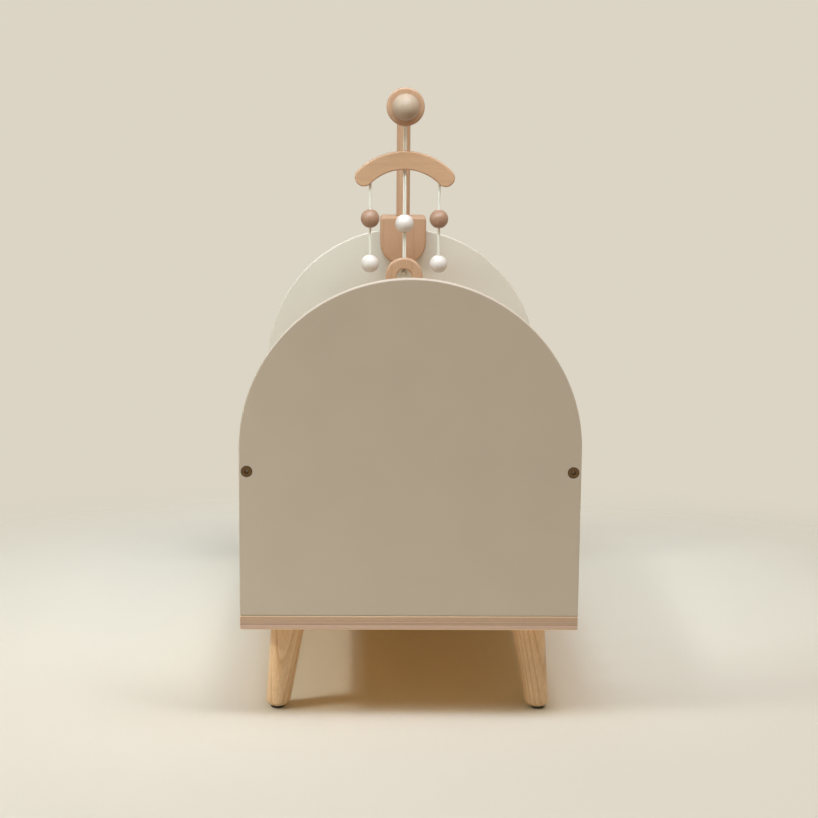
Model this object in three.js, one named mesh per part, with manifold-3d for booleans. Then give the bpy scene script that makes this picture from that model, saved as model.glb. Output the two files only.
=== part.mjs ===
// Doll cot: a raised ply board on four splayed legs, two arched end panels, spindle sides
// and a small mobile whose stand slips over the headboard.
// Millimetres, +Z up, +Y from the foot of the cot to its head, +X to the right seen from
// the foot. The origin is on the floor, in the middle of everything the cot takes up.

import * as THREE from 'three';
import { mergeVertices } from 'three/addons/utils/BufferGeometryUtils.js';
import Module from 'manifold-3d';

const wasm = await Module();
wasm.setup();

// Driving dimensions of the cot
const WIDTH = 300; // across the end panels and the board
const LENGTH = 500; // outer face to outer face of the end panels
const BOARD_UNDER = 82; // floor to the underside of the board
const BOARD_THICK = 13;
const PANEL_THICK = 12;
const PANEL_STRAIGHT = 150; // straight part of a panel's side, below its arch
const RAIL_WIDE = 14;
const RAIL_HIGH = 25;
const RAIL_MID_Z = 225.5;
const SPINDLE_DIA = 8;
const SPINDLES = 7; // on each side
const SPINDLE_SEAT = 8; // depth of a spindle's hole in the board and in the rail
const GAP = 0.3; // clearance between a piece and the hole it sits in

// Legs, with their splay given as the foot's offset from the leg's top
const LEG_INSET = 41.7; // from the board's edges to the middle of a leg's top
const LEG_SPLAY = 10.2;
const LEG_TOP_DIA = 31.5;
const LEG_FOOT_DIA = 22;
const LEG_ROUND = { wide: 3.4, high: 6 }; // rounding of a leg's lower end
const GLIDE_DIA = 12.5;
const GLIDE_HIGH = 2.5;
const GLIDE_STEM_DIA = 4; // the stem that is pressed into the leg
const GLIDE_STEM_TOP = 14;

// Fasteners
const RAIL_SCREW = { head: 9.5, rim: 1.2, cone: 2.2, collar: 7, thread: 5, long: 50, key: 4 };
const WOOD_SCREW = { head: 7.6, cone: 2.2, thread: 3.5, long: 42 };
const LEG_SCREW = { dia: 6, point: 2, low: 52, high: 92 }; // threaded at both ends

// Stand of the mobile: a saddle over the headboard's edge, a post and an arm
const SADDLE_WIDE = 51;
const SADDLE_DEEP = 36;
const SADDLE_SLOT = 12.5; // the headboard's thickness and its play
const SADDLE_TOP = 409;
const SADDLE_CORNER = 4;
const SADDLE_ROUND_Z = 381.2; // centre of the cheeks' round lower end
const SADDLE_PLAY = 0.3; // between the core and the arched edge it rests on
const POST_DIA = 15;
const TENON_DIA = 9;
const TENON_LONG = 12;
const ARM_DIA = 10;
const ARM_Z = 531.5;
const ARM_SEAT = 12; // how far the arm goes into the post
const POST_TOP = ARM_Z + 13;
const DISC_DIA = 40;
const DISC_THICK = 8;
const BALL_DIA = 28;
const BALL_SEAT = 3; // depth of the flat that the ball is glued on by
const REACH = 99; // from the post's axis to the cord that the hanger hangs on
const DISC_AHEAD = 7; // from that cord to the back of the disc
const ARM_IN_BALL = 2; // how far the arm's end goes past the ball's middle

// Mobile: an arched hanger with three drops
const CORD_DIA = 2;
const SIDE_DIA = 3; // the thicker cord of a side drop
const LOOP_X = 1.15; // half the spacing of the two strands that hold the hanger
const PAIR_X = 0.95; // the same where the strands lie against each other
const HANGER_TOP = 485.1;
const HANGER_MID_RADIUS = 61;
const HANGER_BAND = 19.4;
const HANGER_THICK = 12;
const HANGER_HALF_ANGLE = Math.PI / 4;
const DROP_X = 36.5; // middle of the hanger to a side drop
const ARM_KNOT = { radius: 3.7, z: 516.2 }; // just under the arm
const LINE_BORE = 2.5; // radius of the hanger's middle hole
const LINE_KNOT = { radius: 3.3, z: 468.9 }; // under that hole, in a recess
const SIDE_BORE = 2;
const SIDE_KNOT = { radius: 2.9, z: 471.9 }; // above a side drop, in a recess
const SIDE_STUB_LOW = 449.2; // where the cord leaves the hanger
const SIDE_PIVOT_Z = 448.3; // and where it starts to swing
const CENTRE_PIVOT_Z = 464.5;
const BROWN_BEAD = { dia: 20, z: 413.9 };
const WHITE_BEAD = { dia: 19, z: 365.9 };
const CENTRE_BEAD = { dia: 19.5, z: 408.9 };
const SINGLE = { bore: 1.9, seat: 3.2 }; // radii of a bead's bore and of its knot's seat
const DOUBLED = { bore: 2.6, seat: 4 }; // the same on a doubled cord
const BEAD_SEAT = 4.6; // depth of that seat
const BEAD_KNOT_HIGH = 2.8;
const END_KNOT = 2.6; // radius of the knot that ends a side cord
const RAINBOW = { radius: 19.8, inner: 7.7, thick: 12, centreZ: 352.7, leg: 8.8 };
const RAINBOW_KNOT = 3.2;

// Where the main faces lie
const HALF_WIDTH = WIDTH / 2;
const BACK_Y = (LENGTH + (SADDLE_DEEP - PANEL_THICK) / 2) / 2; // rear face of the saddle
const FOOT_Y = -BACK_Y; // outer face of the foot panel
const HEAD_Y = FOOT_Y + LENGTH; // outer face of the head panel
const POST_Y = HEAD_Y - PANEL_THICK / 2;
const CORD_Y = POST_Y - REACH;
const DISC_BACK_Y = CORD_Y - DISC_AHEAD;
const BALL_Y = DISC_BACK_Y - DISC_THICK - (BALL_DIA / 2 - BALL_SEAT);
const ARM_END_Y = BALL_Y - ARM_IN_BALL;
const BOARD_TOP = BOARD_UNDER + BOARD_THICK;
const SPRING_Z = BOARD_TOP + PANEL_STRAIGHT; // where the arch starts
const RAIL_UNDER = RAIL_MID_Z - RAIL_HIGH / 2;
const RAIL_X = HALF_WIDTH - RAIL_WIDE / 2;
const RAIL_FOOT = FOOT_Y + PANEL_THICK;
const RAIL_HEAD = HEAD_Y - PANEL_THICK;
const HANGER_CENTRE_Z = HANGER_TOP - HANGER_MID_RADIUS - HANGER_BAND / 2;
const END_KNOT_Z = seatTop(WHITE_BEAD, SINGLE.seat) - GAP - END_KNOT;
const RAINBOW_KNOT_Z = RAINBOW.centreZ + RAINBOW.inner - RAINBOW_KNOT - 2 * GAP;
const PANEL_SCREW_X = [-95, 95]; // the screws that come up through the board
const LEG_CORNERS = [
  ['front_left', -1, -1],
  ['front_right', 1, -1],
  ['rear_left', -1, 1],
  ['rear_right', 1, 1],
];

const PAINT = { color: 0xd6cdbc, roughness: 0.5, metalness: 0 };
const PLY = { color: 0xd9bf98, roughness: 0.55, metalness: 0 };
const BEECH = { color: 0xcda07d, roughness: 0.5, metalness: 0 };
const PINE = { color: 0xd6b287, roughness: 0.45, metalness: 0 };
const PALE_WOOD = { color: 0xdcc3a2, roughness: 0.5, metalness: 0 };
const BROWN_PAINT = { color: 0xb08570, roughness: 0.5, metalness: 0 };
const WHITE_PAINT = { color: 0xf1ebe2, roughness: 0.45, metalness: 0 };
const COTTON = { color: 0xf2ede4, roughness: 0.9, metalness: 0 };
const BRONZE = { color: 0x46371f, roughness: 0.4, metalness: 0.8 };
const ZINC = { color: 0xb9bcc0, roughness: 0.35, metalness: 0.9 };
const BLACK = { color: 0x1c1b1a, roughness: 0.6, metalness: 0 };

// Helpers for solids

function bare(geometry) {
  const plain = geometry.clone();
  plain.deleteAttribute('normal');
  plain.deleteAttribute('uv');
  const merged = mergeVertices(plain, 1e-4);
  const kept = [];
  const index = merged.index.array;
  for (let i = 0; i < index.length; i += 3) {
    const [a, b, c] = [index[i], index[i + 1], index[i + 2]];
    if (a !== b && b !== c && c !== a) kept.push(a, b, c);
  }
  merged.setIndex(kept);
  return merged;
}

function toSolid(geometry) {
  const closed = bare(geometry);
  return new wasm.Manifold(
    new wasm.Mesh({
      numProp: 3,
      vertProperties: new Float32Array(closed.attributes.position.array),
      triVerts: new Uint32Array(closed.index.array),
    }),
  );
}

function toGeometry(solid) {
  const { vertProperties, triVerts } = solid.getMesh();
  const geometry = new THREE.BufferGeometry();
  geometry.setAttribute('position', new THREE.BufferAttribute(vertProperties, 3));
  geometry.setIndex(new THREE.BufferAttribute(triVerts, 1));
  return geometry;
}

function cut(geometry, cutters) {
  let solid = toSolid(geometry);
  for (const cutter of cutters) solid = solid.subtract(toSolid(cutter));
  return toGeometry(solid);
}

function joined(geometries) {
  const [first, ...others] = geometries.map(toSolid);
  return toGeometry(others.reduce((whole, solid) => whole.add(solid), first));
}

// A body of revolution about +Z: profile holds [radius, z] pairs, from low to high.
function turned(profile, segments = 24) {
  const points = profile.map(([radius, z]) => new THREE.Vector2(radius, z));
  return new THREE.LatheGeometry(points, segments).rotateX(Math.PI / 2);
}

function rod(radius, low, high, segments = 20) {
  return turned([[0, low], [radius, low], [radius, high], [0, high]], segments);
}

// A rod along Y, with its ends at the two given places.
function rodAlongY(radius, low, high, segments = 20) {
  return rod(radius, low, high, segments).rotateX(-Math.PI / 2);
}

// A shape drawn in X and Z, given its depth along Y from low to high.
function slab(shape, low, high, curveSegments = 12) {
  const settings = { depth: high - low, bevelEnabled: false, curveSegments };
  const geometry = new THREE.ExtrudeGeometry(shape, settings);
  return geometry.rotateX(Math.PI / 2).translate(0, high, 0);
}

function tubeAlong(curve, radius, sides, steps) {
  const section = new THREE.Shape(
    Array.from({ length: sides }, (_, i) => {
      const angle = (2 * Math.PI * i) / sides;
      return new THREE.Vector2(radius * Math.cos(angle), radius * Math.sin(angle));
    }),
  );
  const settings = { steps, bevelEnabled: false, extrudePath: curve };
  return new THREE.ExtrudeGeometry(section, settings);
}

function piece(name, geometry, finish, x = 0, y = 0, z = 0) {
  const mesh = new THREE.Mesh(geometry, new THREE.MeshStandardMaterial(finish));
  mesh.name = name;
  mesh.position.set(x, y, z);
  return mesh;
}

// Board, panels and rails

function spindlePlaces() {
  const pitch = (RAIL_HEAD - RAIL_FOOT) / (SPINDLES + 1);
  return Array.from({ length: SPINDLES }, (_, i) => RAIL_FOOT + pitch * (i + 1));
}

function woodScrew({ head, cone, thread, long }, grow = 0) {
  return turned(
    [
      [0, 0],
      [head / 2 + grow, 0],
      [thread / 2 + grow, cone + grow],
      [thread / 2 + grow, long - thread + grow],
      [0, long + grow],
    ],
    12,
  );
}

function legTop([, sideX, sideY]) {
  const y = sideY < 0 ? FOOT_Y + LEG_INSET : HEAD_Y - LEG_INSET;
  return [sideX * (HALF_WIDTH - LEG_INSET), y];
}

function panelMiddles() {
  return [FOOT_Y + PANEL_THICK / 2, HEAD_Y - PANEL_THICK / 2];
}

function baseBoard() {
  const board = new THREE.BoxGeometry(WIDTH, LENGTH, BOARD_THICK);
  board.translate(0, (FOOT_Y + HEAD_Y) / 2, BOARD_UNDER + BOARD_THICK / 2);
  const cutters = [];
  for (const y of spindlePlaces()) {
    for (const x of [-RAIL_X, RAIL_X]) {
      const seat = rod(SPINDLE_DIA / 2 + GAP, BOARD_TOP - SPINDLE_SEAT, BOARD_TOP + 1, 12);
      cutters.push(seat.translate(x, y, 0));
    }
  }
  for (const y of panelMiddles()) {
    for (const x of PANEL_SCREW_X) {
      cutters.push(woodScrew(WOOD_SCREW, GAP).translate(x, y, BOARD_UNDER));
    }
  }
  for (const corner of LEG_CORNERS) {
    cutters.push(legScrew(GAP).translate(...legTop(corner), 0));
  }
  return cut(board, cutters);
}

// The screw that holds a rail's end: it runs along +Y from its head's face at y = 0.
function railScrewBody(grow = 0) {
  const { head, rim, cone, collar, thread, long } = RAIL_SCREW;
  return turned(
    [
      [0, 0],
      [head / 2 + grow, 0],
      [head / 2 + grow, rim],
      [collar / 2 + grow, rim + cone + grow],
      [collar / 2 + grow, PANEL_THICK],
      [thread / 2 + grow, PANEL_THICK + grow],
      [thread / 2 + grow, long - 4],
      [0, long + grow],
    ],
    16,
  ).rotateX(-Math.PI / 2);
}

function railScrewCorners() {
  const corners = [];
  for (const x of [-RAIL_X, RAIL_X]) {
    corners.push([x, FOOT_Y, 0], [x, HEAD_Y, Math.PI]);
  }
  return corners;
}

function atRailEnd(geometry, [x, y, turn]) {
  return geometry.rotateZ(turn).translate(x, y, RAIL_MID_Z);
}

function endPanel(outerY) {
  const outline = new THREE.Shape();
  outline.moveTo(-HALF_WIDTH, BOARD_TOP);
  outline.lineTo(HALF_WIDTH, BOARD_TOP);
  outline.absarc(0, SPRING_Z, HALF_WIDTH, 0, Math.PI);
  outline.closePath();
  const innerY = outerY < 0 ? outerY + PANEL_THICK : outerY - PANEL_THICK;
  const panel = slab(outline, Math.min(outerY, innerY), Math.max(outerY, innerY), 48);
  const cutters = railScrewCorners()
    .filter(([, y]) => y === outerY)
    .map((corner) => atRailEnd(railScrewBody(GAP), corner));
  for (const x of PANEL_SCREW_X) {
    const screw = woodScrew(WOOD_SCREW, GAP);
    cutters.push(screw.translate(x, (outerY + innerY) / 2, BOARD_UNDER));
  }
  return cut(panel, cutters);
}

function sideRail(side) {
  const round = 3;
  const [wide, high] = [RAIL_WIDE / 2, RAIL_HIGH / 2];
  const outline = new THREE.Shape();
  outline.moveTo(-wide + round, -high);
  outline.absarc(wide - round, -high + round, round, -Math.PI / 2, 0);
  outline.absarc(wide - round, high - round, round, 0, Math.PI / 2);
  outline.absarc(-wide + round, high - round, round, Math.PI / 2, Math.PI);
  outline.absarc(-wide + round, -high + round, round, Math.PI, 1.5 * Math.PI);
  const rail = slab(outline, RAIL_FOOT, RAIL_HEAD, 3).translate(side * RAIL_X, 0, RAIL_MID_Z);
  const cutters = railScrewCorners()
    .filter(([x]) => x * side > 0)
    .map((corner) => atRailEnd(railScrewBody(GAP), corner));
  for (const y of spindlePlaces()) {
    const seat = rod(SPINDLE_DIA / 2 + GAP, RAIL_UNDER - 1, RAIL_UNDER + SPINDLE_SEAT, 12);
    cutters.push(seat.translate(side * RAIL_X, y, 0));
  }
  return cut(rail, cutters);
}

function spindle() {
  const low = BOARD_TOP - SPINDLE_SEAT + GAP;
  const high = RAIL_UNDER + SPINDLE_SEAT - GAP;
  return rod(SPINDLE_DIA / 2, low, high, 12);
}

function railScrew(corner) {
  const socketDeep = 3;
  const socket = rodAlongY(RAIL_SCREW.key / Math.sqrt(3), -1, socketDeep, 6);
  return atRailEnd(cut(railScrewBody(), [socket]), corner);
}

// Legs. A leg leans outwards by a shear, so that its ends stay level.

function leanOut(geometry, [, sideX, sideY]) {
  const lean = LEG_SPLAY / BOARD_UNDER;
  const shear = new THREE.Matrix4().set(
    1, 0, -sideX * lean, 0,
    0, 1, -sideY * lean, 0,
    0, 0, 1, 0,
    0, 0, 0, 1,
  );
  return geometry.translate(0, 0, -BOARD_UNDER).applyMatrix4(shear);
}

function leg(corner) {
  const foot = LEG_FOOT_DIA / 2;
  const { wide, high } = LEG_ROUND;
  const body = turned(
    [
      [0, GLIDE_HIGH],
      [foot - wide, GLIDE_HIGH],
      [foot - 0.3 * wide, GLIDE_HIGH + 0.33 * high],
      [foot, GLIDE_HIGH + high],
      [LEG_TOP_DIA / 2, BOARD_UNDER],
      [0, BOARD_UNDER],
    ],
    32,
  );
  const stem = rod(GLIDE_STEM_DIA / 2 + GAP, GLIDE_HIGH - 1, GLIDE_STEM_TOP + GAP, 12);
  const screw = legScrew(GAP).translate(0, 0, -BOARD_UNDER);
  return cut(leanOut(body, corner), [leanOut(stem, corner), screw]);
}

// The screw that joins a leg to the board runs straight up out of the leg's level top.
function legScrew(grow = 0) {
  const { dia, point, low, high } = LEG_SCREW;
  const radius = dia / 2 + grow;
  return turned(
    [
      [0, low - grow],
      [radius - point, low - grow],
      [radius, low + point],
      [radius, high - point],
      [radius - point, high + grow],
      [0, high + grow],
    ],
    12,
  );
}

function glide(corner) {
  const round = 1;
  const stem = GLIDE_STEM_DIA / 2;
  const body = turned(
    [
      [0, 0],
      [GLIDE_DIA / 2 - round, 0],
      [GLIDE_DIA / 2, round],
      [GLIDE_DIA / 2, GLIDE_HIGH],
      [stem, GLIDE_HIGH],
      [stem, GLIDE_STEM_TOP],
      [0, GLIDE_STEM_TOP],
    ],
    20,
  );
  return leanOut(body, corner);
}

// Stand of the mobile

function saddleCheek(low, high) {
  const half = SADDLE_WIDE / 2;
  const corner = half - SADDLE_CORNER;
  const outline = new THREE.Shape();
  outline.absarc(0, SADDLE_ROUND_Z, half, Math.PI, 2 * Math.PI);
  outline.absarc(corner, SADDLE_TOP - SADDLE_CORNER, SADDLE_CORNER, 0, Math.PI / 2);
  outline.absarc(-corner, SADDLE_TOP - SADDLE_CORNER, SADDLE_CORNER, Math.PI / 2, Math.PI);
  return slab(outline, low, high, 16);
}

// The core's underside is a band of the headboard's own arch.
function saddleCore() {
  const half = SADDLE_WIDE / 2;
  const radius = HALF_WIDTH + SADDLE_PLAY;
  const side = Math.acos(half / radius);
  const corner = half - SADDLE_CORNER;
  const outline = new THREE.Shape();
  outline.absarc(0, SPRING_Z, radius, side, Math.PI - side);
  outline.absarc(-corner, SADDLE_TOP - SADDLE_CORNER, SADDLE_CORNER, Math.PI, Math.PI / 2, true);
  outline.absarc(corner, SADDLE_TOP - SADDLE_CORNER, SADDLE_CORNER, Math.PI / 2, 0, true);
  const slot = SADDLE_SLOT / 2;
  const core = slab(outline, POST_Y - slot, POST_Y + slot, 8);
  const mortise = rod(TENON_DIA / 2 + GAP, SADDLE_TOP - TENON_LONG - GAP, SADDLE_TOP + 1, 20);
  return cut(core, [mortise.translate(0, POST_Y, 0)]);
}

function post() {
  const radius = POST_DIA / 2;
  const body = turned(
    [
      [0, SADDLE_TOP - TENON_LONG],
      [TENON_DIA / 2, SADDLE_TOP - TENON_LONG],
      [TENON_DIA / 2, SADDLE_TOP],
      [radius, SADDLE_TOP],
      [radius, POST_TOP - 3],
      [radius - 1, POST_TOP - 1],
      [radius - 3, POST_TOP],
      [0, POST_TOP],
    ],
    24,
  );
  const mortise = rodAlongY(ARM_DIA / 2 + GAP, -radius - 1, ARM_SEAT - radius + GAP);
  return cut(body, [mortise.translate(0, 0, ARM_Z)]);
}

// The arm runs from its seat in the post, through the disc and into the ball.
function arm() {
  const back = POST_Y - POST_DIA / 2 + ARM_SEAT;
  return rodAlongY(ARM_DIA / 2, ARM_END_Y, back);
}

function disc() {
  const [hole, outer, round] = [ARM_DIA / 2 + GAP, DISC_DIA / 2, 2];
  const ring = [
    [hole, 0],
    [outer - round, 0],
    [outer - 0.6, 0.6],
    [outer, round],
    [outer, DISC_THICK - round],
    [outer - 0.6, DISC_THICK - 0.6],
    [outer - round, DISC_THICK],
    [hole, DISC_THICK],
    [hole, 0],
  ];
  return turned(ring, 32).rotateX(-Math.PI / 2);
}

// The ball has a flat where it meets the disc and a hole for the arm's end.
function ball() {
  const radius = BALL_DIA / 2;
  const flat = radius - BALL_SEAT;
  const hole = ARM_DIA / 2 + GAP;
  const start = Math.acos(flat / radius);
  const steps = 10;
  const profile = [];
  for (let i = 0; i <= steps; i += 1) {
    const angle = Math.PI - (i * (Math.PI - start)) / steps;
    profile.push([radius * Math.sin(angle), radius * Math.cos(angle)]);
  }
  profile[0][0] = 0;
  profile.push([hole, flat], [hole, ARM_END_Y - BALL_Y - GAP], [0, ARM_END_Y - BALL_Y - GAP]);
  return turned(profile, 24).rotateX(-Math.PI / 2);
}

// Cords. A knot is a thickening of the cord that it is tied in.

// One cord, doubled over the arm: up one strand, round the arm and down the other.
function lineRoute() {
  const strand = [
    [LOOP_X, LINE_KNOT.z],
    [LOOP_X, 479],
    [LOOP_X, 489],
    [LOOP_X, 499],
    [LOOP_X, 508],
    [LOOP_X, 515],
    [LOOP_X, 520],
    [1.7, 522.7],
    [3.8, 525.5],
    [5.8, 528.3],
    [6.5, 531.5],
    [5.63, 534.75],
    [3.25, 537.13],
  ];
  const rising = strand.map(([x, z]) => new THREE.Vector3(-x, 0, z));
  const falling = strand.map(([x, z]) => new THREE.Vector3(x, 0, z)).reverse();
  return new THREE.CatmullRomCurve3([...rising, new THREE.Vector3(0, 0, 538), ...falling]);
}

function knotBall(radius, z, segments = 10) {
  const steps = 6;
  const profile = [];
  for (let i = 0; i <= steps; i += 1) {
    const angle = Math.PI - (Math.PI * i) / steps;
    profile.push([radius * Math.sin(angle), z + radius * Math.cos(angle)]);
  }
  profile[0][0] = 0;
  profile[steps][0] = 0;
  return turned(profile, segments);
}

function hangerLine() {
  const cord = tubeAlong(lineRoute(), CORD_DIA / 2, 8, 54);
  const armKnot = knotBall(ARM_KNOT.radius, ARM_KNOT.z);
  return joined([cord, armKnot, knotBall(LINE_KNOT.radius, LINE_KNOT.z)]);
}

// A side drop's upper knot, drawn down into the hanger, with the cord that fills its hole.
function upperKnot() {
  const cord = SIDE_DIA / 2;
  const { radius, z } = SIDE_KNOT;
  return turned(
    [
      [0, SIDE_STUB_LOW],
      [cord, SIDE_STUB_LOW],
      [cord, z - radius],
      [radius, z - radius / 2],
      [radius, z + radius / 2],
      [cord, z + radius],
      [0, z + radius],
    ],
    10,
  );
}

function beadKnotProfile(size, { seat }, inner) {
  const top = seatTop(size, seat) - GAP;
  const radius = seat - GAP;
  const rise = BEAD_KNOT_HIGH / 4;
  return [
    [inner, top - BEAD_KNOT_HIGH],
    [radius, top - BEAD_KNOT_HIGH + rise],
    [radius, top - rise],
    [inner, top],
  ];
}

function sideCord() {
  const radius = SIDE_DIA / 2;
  const profile = [
    [0, END_KNOT_Z - END_KNOT],
    [0.7 * END_KNOT, END_KNOT_Z - 0.7 * END_KNOT],
    [END_KNOT, END_KNOT_Z],
    [0.7 * END_KNOT, END_KNOT_Z + 0.7 * END_KNOT],
    [radius, END_KNOT_Z + END_KNOT],
    ...beadKnotProfile(BROWN_BEAD, SINGLE, radius),
    [radius, SIDE_PIVOT_Z],
    [0, SIDE_PIVOT_Z],
  ];
  return turned(profile, 8);
}

function centreCord() {
  const strands = [-PAIR_X, PAIR_X].map((x) =>
    rod(CORD_DIA / 2, RAINBOW_KNOT_Z, CENTRE_PIVOT_Z, 8).rotateZ(Math.PI / 8).translate(x, 0, 0),
  );
  const ring = beadKnotProfile(CENTRE_BEAD, DOUBLED, 0);
  const knots = [turned(ring, 10), knotBall(RAINBOW_KNOT, RAINBOW_KNOT_Z)];
  return joined([...strands, ...knots]);
}

function hanger() {
  const half = HANGER_BAND / 2;
  const [outer, inner] = [HANGER_MID_RADIUS + half, HANGER_MID_RADIUS - half];
  const [right, left] = [Math.PI / 2 - HANGER_HALF_ANGLE, Math.PI / 2 + HANGER_HALF_ANGLE];
  const endX = HANGER_MID_RADIUS * Math.cos(right);
  const endZ = HANGER_CENTRE_Z + HANGER_MID_RADIUS * Math.sin(right);
  const outline = new THREE.Shape();
  outline.absarc(0, HANGER_CENTRE_Z, outer, right, left);
  outline.absarc(-endX, endZ, half, left, left + Math.PI);
  outline.absarc(0, HANGER_CENTRE_Z, inner, left, right, true);
  outline.absarc(endX, endZ, half, right + Math.PI, right + 2 * Math.PI);
  const bar = slab(outline, -HANGER_THICK / 2, HANGER_THICK / 2, 16);
  const low = HANGER_CENTRE_Z;
  const high = HANGER_TOP + 1;
  const lineRecess = LINE_KNOT.z + LINE_BORE;
  const sideRecess = SIDE_KNOT.z - SIDE_KNOT.radius - GAP;
  const cutters = [
    rod(LINE_BORE, low, high, 16),
    rod(LINE_KNOT.radius + 2 * GAP, low, lineRecess, 16),
  ];
  for (const x of [-DROP_X, DROP_X]) {
    cutters.push(rod(SIDE_BORE, low, high, 12).translate(x, 0, 0));
    cutters.push(rod(SIDE_KNOT.radius + 2 * GAP, sideRecess, high, 12).translate(x, 0, 0));
  }
  return cut(bar, cutters);
}

function seatTop({ dia, z }, seat) {
  return z - Math.sqrt((dia / 2) ** 2 - seat ** 2) + BEAD_SEAT;
}

// A bead with a bore along Z and a wider seat at its lower mouth for the knot under it.
function bead(size, { bore, seat }) {
  const { dia, z } = size;
  const radius = dia / 2;
  const low = Math.PI - Math.asin(seat / radius);
  const high = Math.asin(bore / radius);
  const steps = 9;
  const profile = [];
  for (let i = 0; i <= steps; i += 1) {
    const angle = low + ((high - low) * i) / steps;
    profile.push([radius * Math.sin(angle), z + radius * Math.cos(angle)]);
  }
  const seatZ = seatTop(size, seat);
  profile.push([bore, seatZ], [seat, seatZ], profile[0]);
  return turned(profile, 20);
}

function rainbow() {
  const { radius, inner, thick, centreZ, leg: drop } = RAINBOW;
  const outline = new THREE.Shape();
  outline.absarc(0, centreZ, radius, 0, Math.PI);
  outline.lineTo(-radius, centreZ - drop);
  outline.lineTo(-inner, centreZ - drop);
  outline.absarc(0, centreZ, inner, Math.PI, 0, true);
  outline.lineTo(inner, centreZ - drop);
  outline.lineTo(radius, centreZ - drop);
  const arch = slab(outline, -thick / 2, thick / 2, 20);
  return cut(arch, [rod(DOUBLED.bore, centreZ, centreZ + radius + 2, 16)]);
}

// Assembly

function cotBody() {
  const group = new THREE.Group();
  group.add(piece('base_board', baseBoard(), PLY));
  group.add(piece('foot_panel', endPanel(FOOT_Y), PAINT));
  group.add(piece('head_panel', endPanel(HEAD_Y), PAINT));
  for (const [name, side] of [['left', -1], ['right', 1]]) {
    group.add(piece(`side_rail_${name}`, sideRail(side), PAINT));
    spindlePlaces().forEach((y, i) => {
      group.add(piece(`spindle_${name}_${i + 1}`, spindle(), BEECH, side * RAIL_X, y));
    });
  }
  railScrewCorners().forEach((corner, i) => {
    group.add(piece(`rail_screw_${i + 1}`, railScrew(corner), BRONZE));
  });
  for (const [end, y] of [['foot', panelMiddles()[0]], ['head', panelMiddles()[1]]]) {
    PANEL_SCREW_X.forEach((x, i) => {
      const name = `panel_screw_${end}_${i + 1}`;
      group.add(piece(name, woodScrew(WOOD_SCREW), ZINC, x, y, BOARD_UNDER));
    });
  }
  return group;
}

function legs() {
  const group = new THREE.Group();
  for (const corner of LEG_CORNERS) {
    const place = [...legTop(corner), BOARD_UNDER];
    group.add(piece(`leg_${corner[0]}`, leg(corner), PINE, ...place));
    group.add(piece(`glide_${corner[0]}`, glide(corner), BLACK, ...place));
    group.add(piece(`leg_screw_${corner[0]}`, legScrew(), ZINC, ...legTop(corner)));
  }
  return group;
}

function mobileStand() {
  const group = new THREE.Group();
  const slot = SADDLE_SLOT / 2;
  const front = saddleCheek(BACK_Y - SADDLE_DEEP, POST_Y - slot);
  group.add(piece('saddle_front', front, BEECH));
  group.add(piece('saddle_core', saddleCore(), BEECH));
  group.add(piece('saddle_rear', saddleCheek(POST_Y + slot, BACK_Y), BEECH));
  group.add(piece('mobile_post', post(), BEECH, 0, POST_Y));
  group.add(piece('mobile_arm', arm(), BEECH, 0, 0, ARM_Z));
  group.add(piece('arm_disc', disc(), BEECH, 0, DISC_BACK_Y - DISC_THICK, ARM_Z));
  group.add(piece('arm_ball', ball(), PALE_WOOD, 0, BALL_Y, ARM_Z));
  return group;
}

function mobile() {
  const group = new THREE.Group();
  group.position.y = CORD_Y;
  group.add(piece('hanger_line', hangerLine(), COTTON));
  group.add(piece('hanger', hanger(), BEECH));
  for (const [name, x] of [['left', -DROP_X], ['right', DROP_X]]) {
    group.add(piece(`${name}_upper_knot`, upperKnot(), COTTON, x));
    group.add(piece(`${name}_cord`, sideCord(), COTTON, x));
    group.add(piece(`${name}_brown_bead`, bead(BROWN_BEAD, SINGLE), BROWN_PAINT, x));
    group.add(piece(`${name}_white_bead`, bead(WHITE_BEAD, SINGLE), WHITE_PAINT, x));
  }
  group.add(piece('centre_cord', centreCord(), COTTON));
  group.add(piece('centre_bead', bead(CENTRE_BEAD, DOUBLED), WHITE_PAINT));
  group.add(piece('rainbow', rainbow(), BEECH));
  return group;
}

const dollCot = new THREE.Group();
dollCot.add(cotBody(), legs(), mobileStand(), mobile());

export default dollCot;
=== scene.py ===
"""Looks of a doll cot with a hanging mobile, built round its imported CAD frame.

Lengths are metres in the frame's own axes: +Z up, +Y from the foot of the cot to its head and
+X to the right seen from the foot.
"""

import logging
import math
from dataclasses import dataclass
from enum import Enum
from typing import Iterable, Sequence

import bmesh
import bpy
from mathutils import Matrix, Vector

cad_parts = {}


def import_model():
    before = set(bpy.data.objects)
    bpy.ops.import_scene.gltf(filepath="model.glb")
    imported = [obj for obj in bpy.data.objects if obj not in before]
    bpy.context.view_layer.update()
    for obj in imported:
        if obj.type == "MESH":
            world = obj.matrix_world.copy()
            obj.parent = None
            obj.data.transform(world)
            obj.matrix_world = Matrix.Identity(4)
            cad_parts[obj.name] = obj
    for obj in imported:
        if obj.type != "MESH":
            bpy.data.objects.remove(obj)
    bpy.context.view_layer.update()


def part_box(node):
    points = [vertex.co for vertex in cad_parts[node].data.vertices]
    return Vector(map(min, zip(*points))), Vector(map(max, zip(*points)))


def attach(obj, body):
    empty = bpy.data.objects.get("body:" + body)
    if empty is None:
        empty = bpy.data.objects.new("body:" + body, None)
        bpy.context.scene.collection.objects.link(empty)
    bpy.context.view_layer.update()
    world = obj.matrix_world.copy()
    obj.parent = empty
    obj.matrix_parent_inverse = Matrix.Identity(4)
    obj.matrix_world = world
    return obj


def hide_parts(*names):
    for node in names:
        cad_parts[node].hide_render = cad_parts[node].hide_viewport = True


LOG = logging.getLogger("doll_cot")
FLUSH = 1e-6  # points nearer than this are one point
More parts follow.
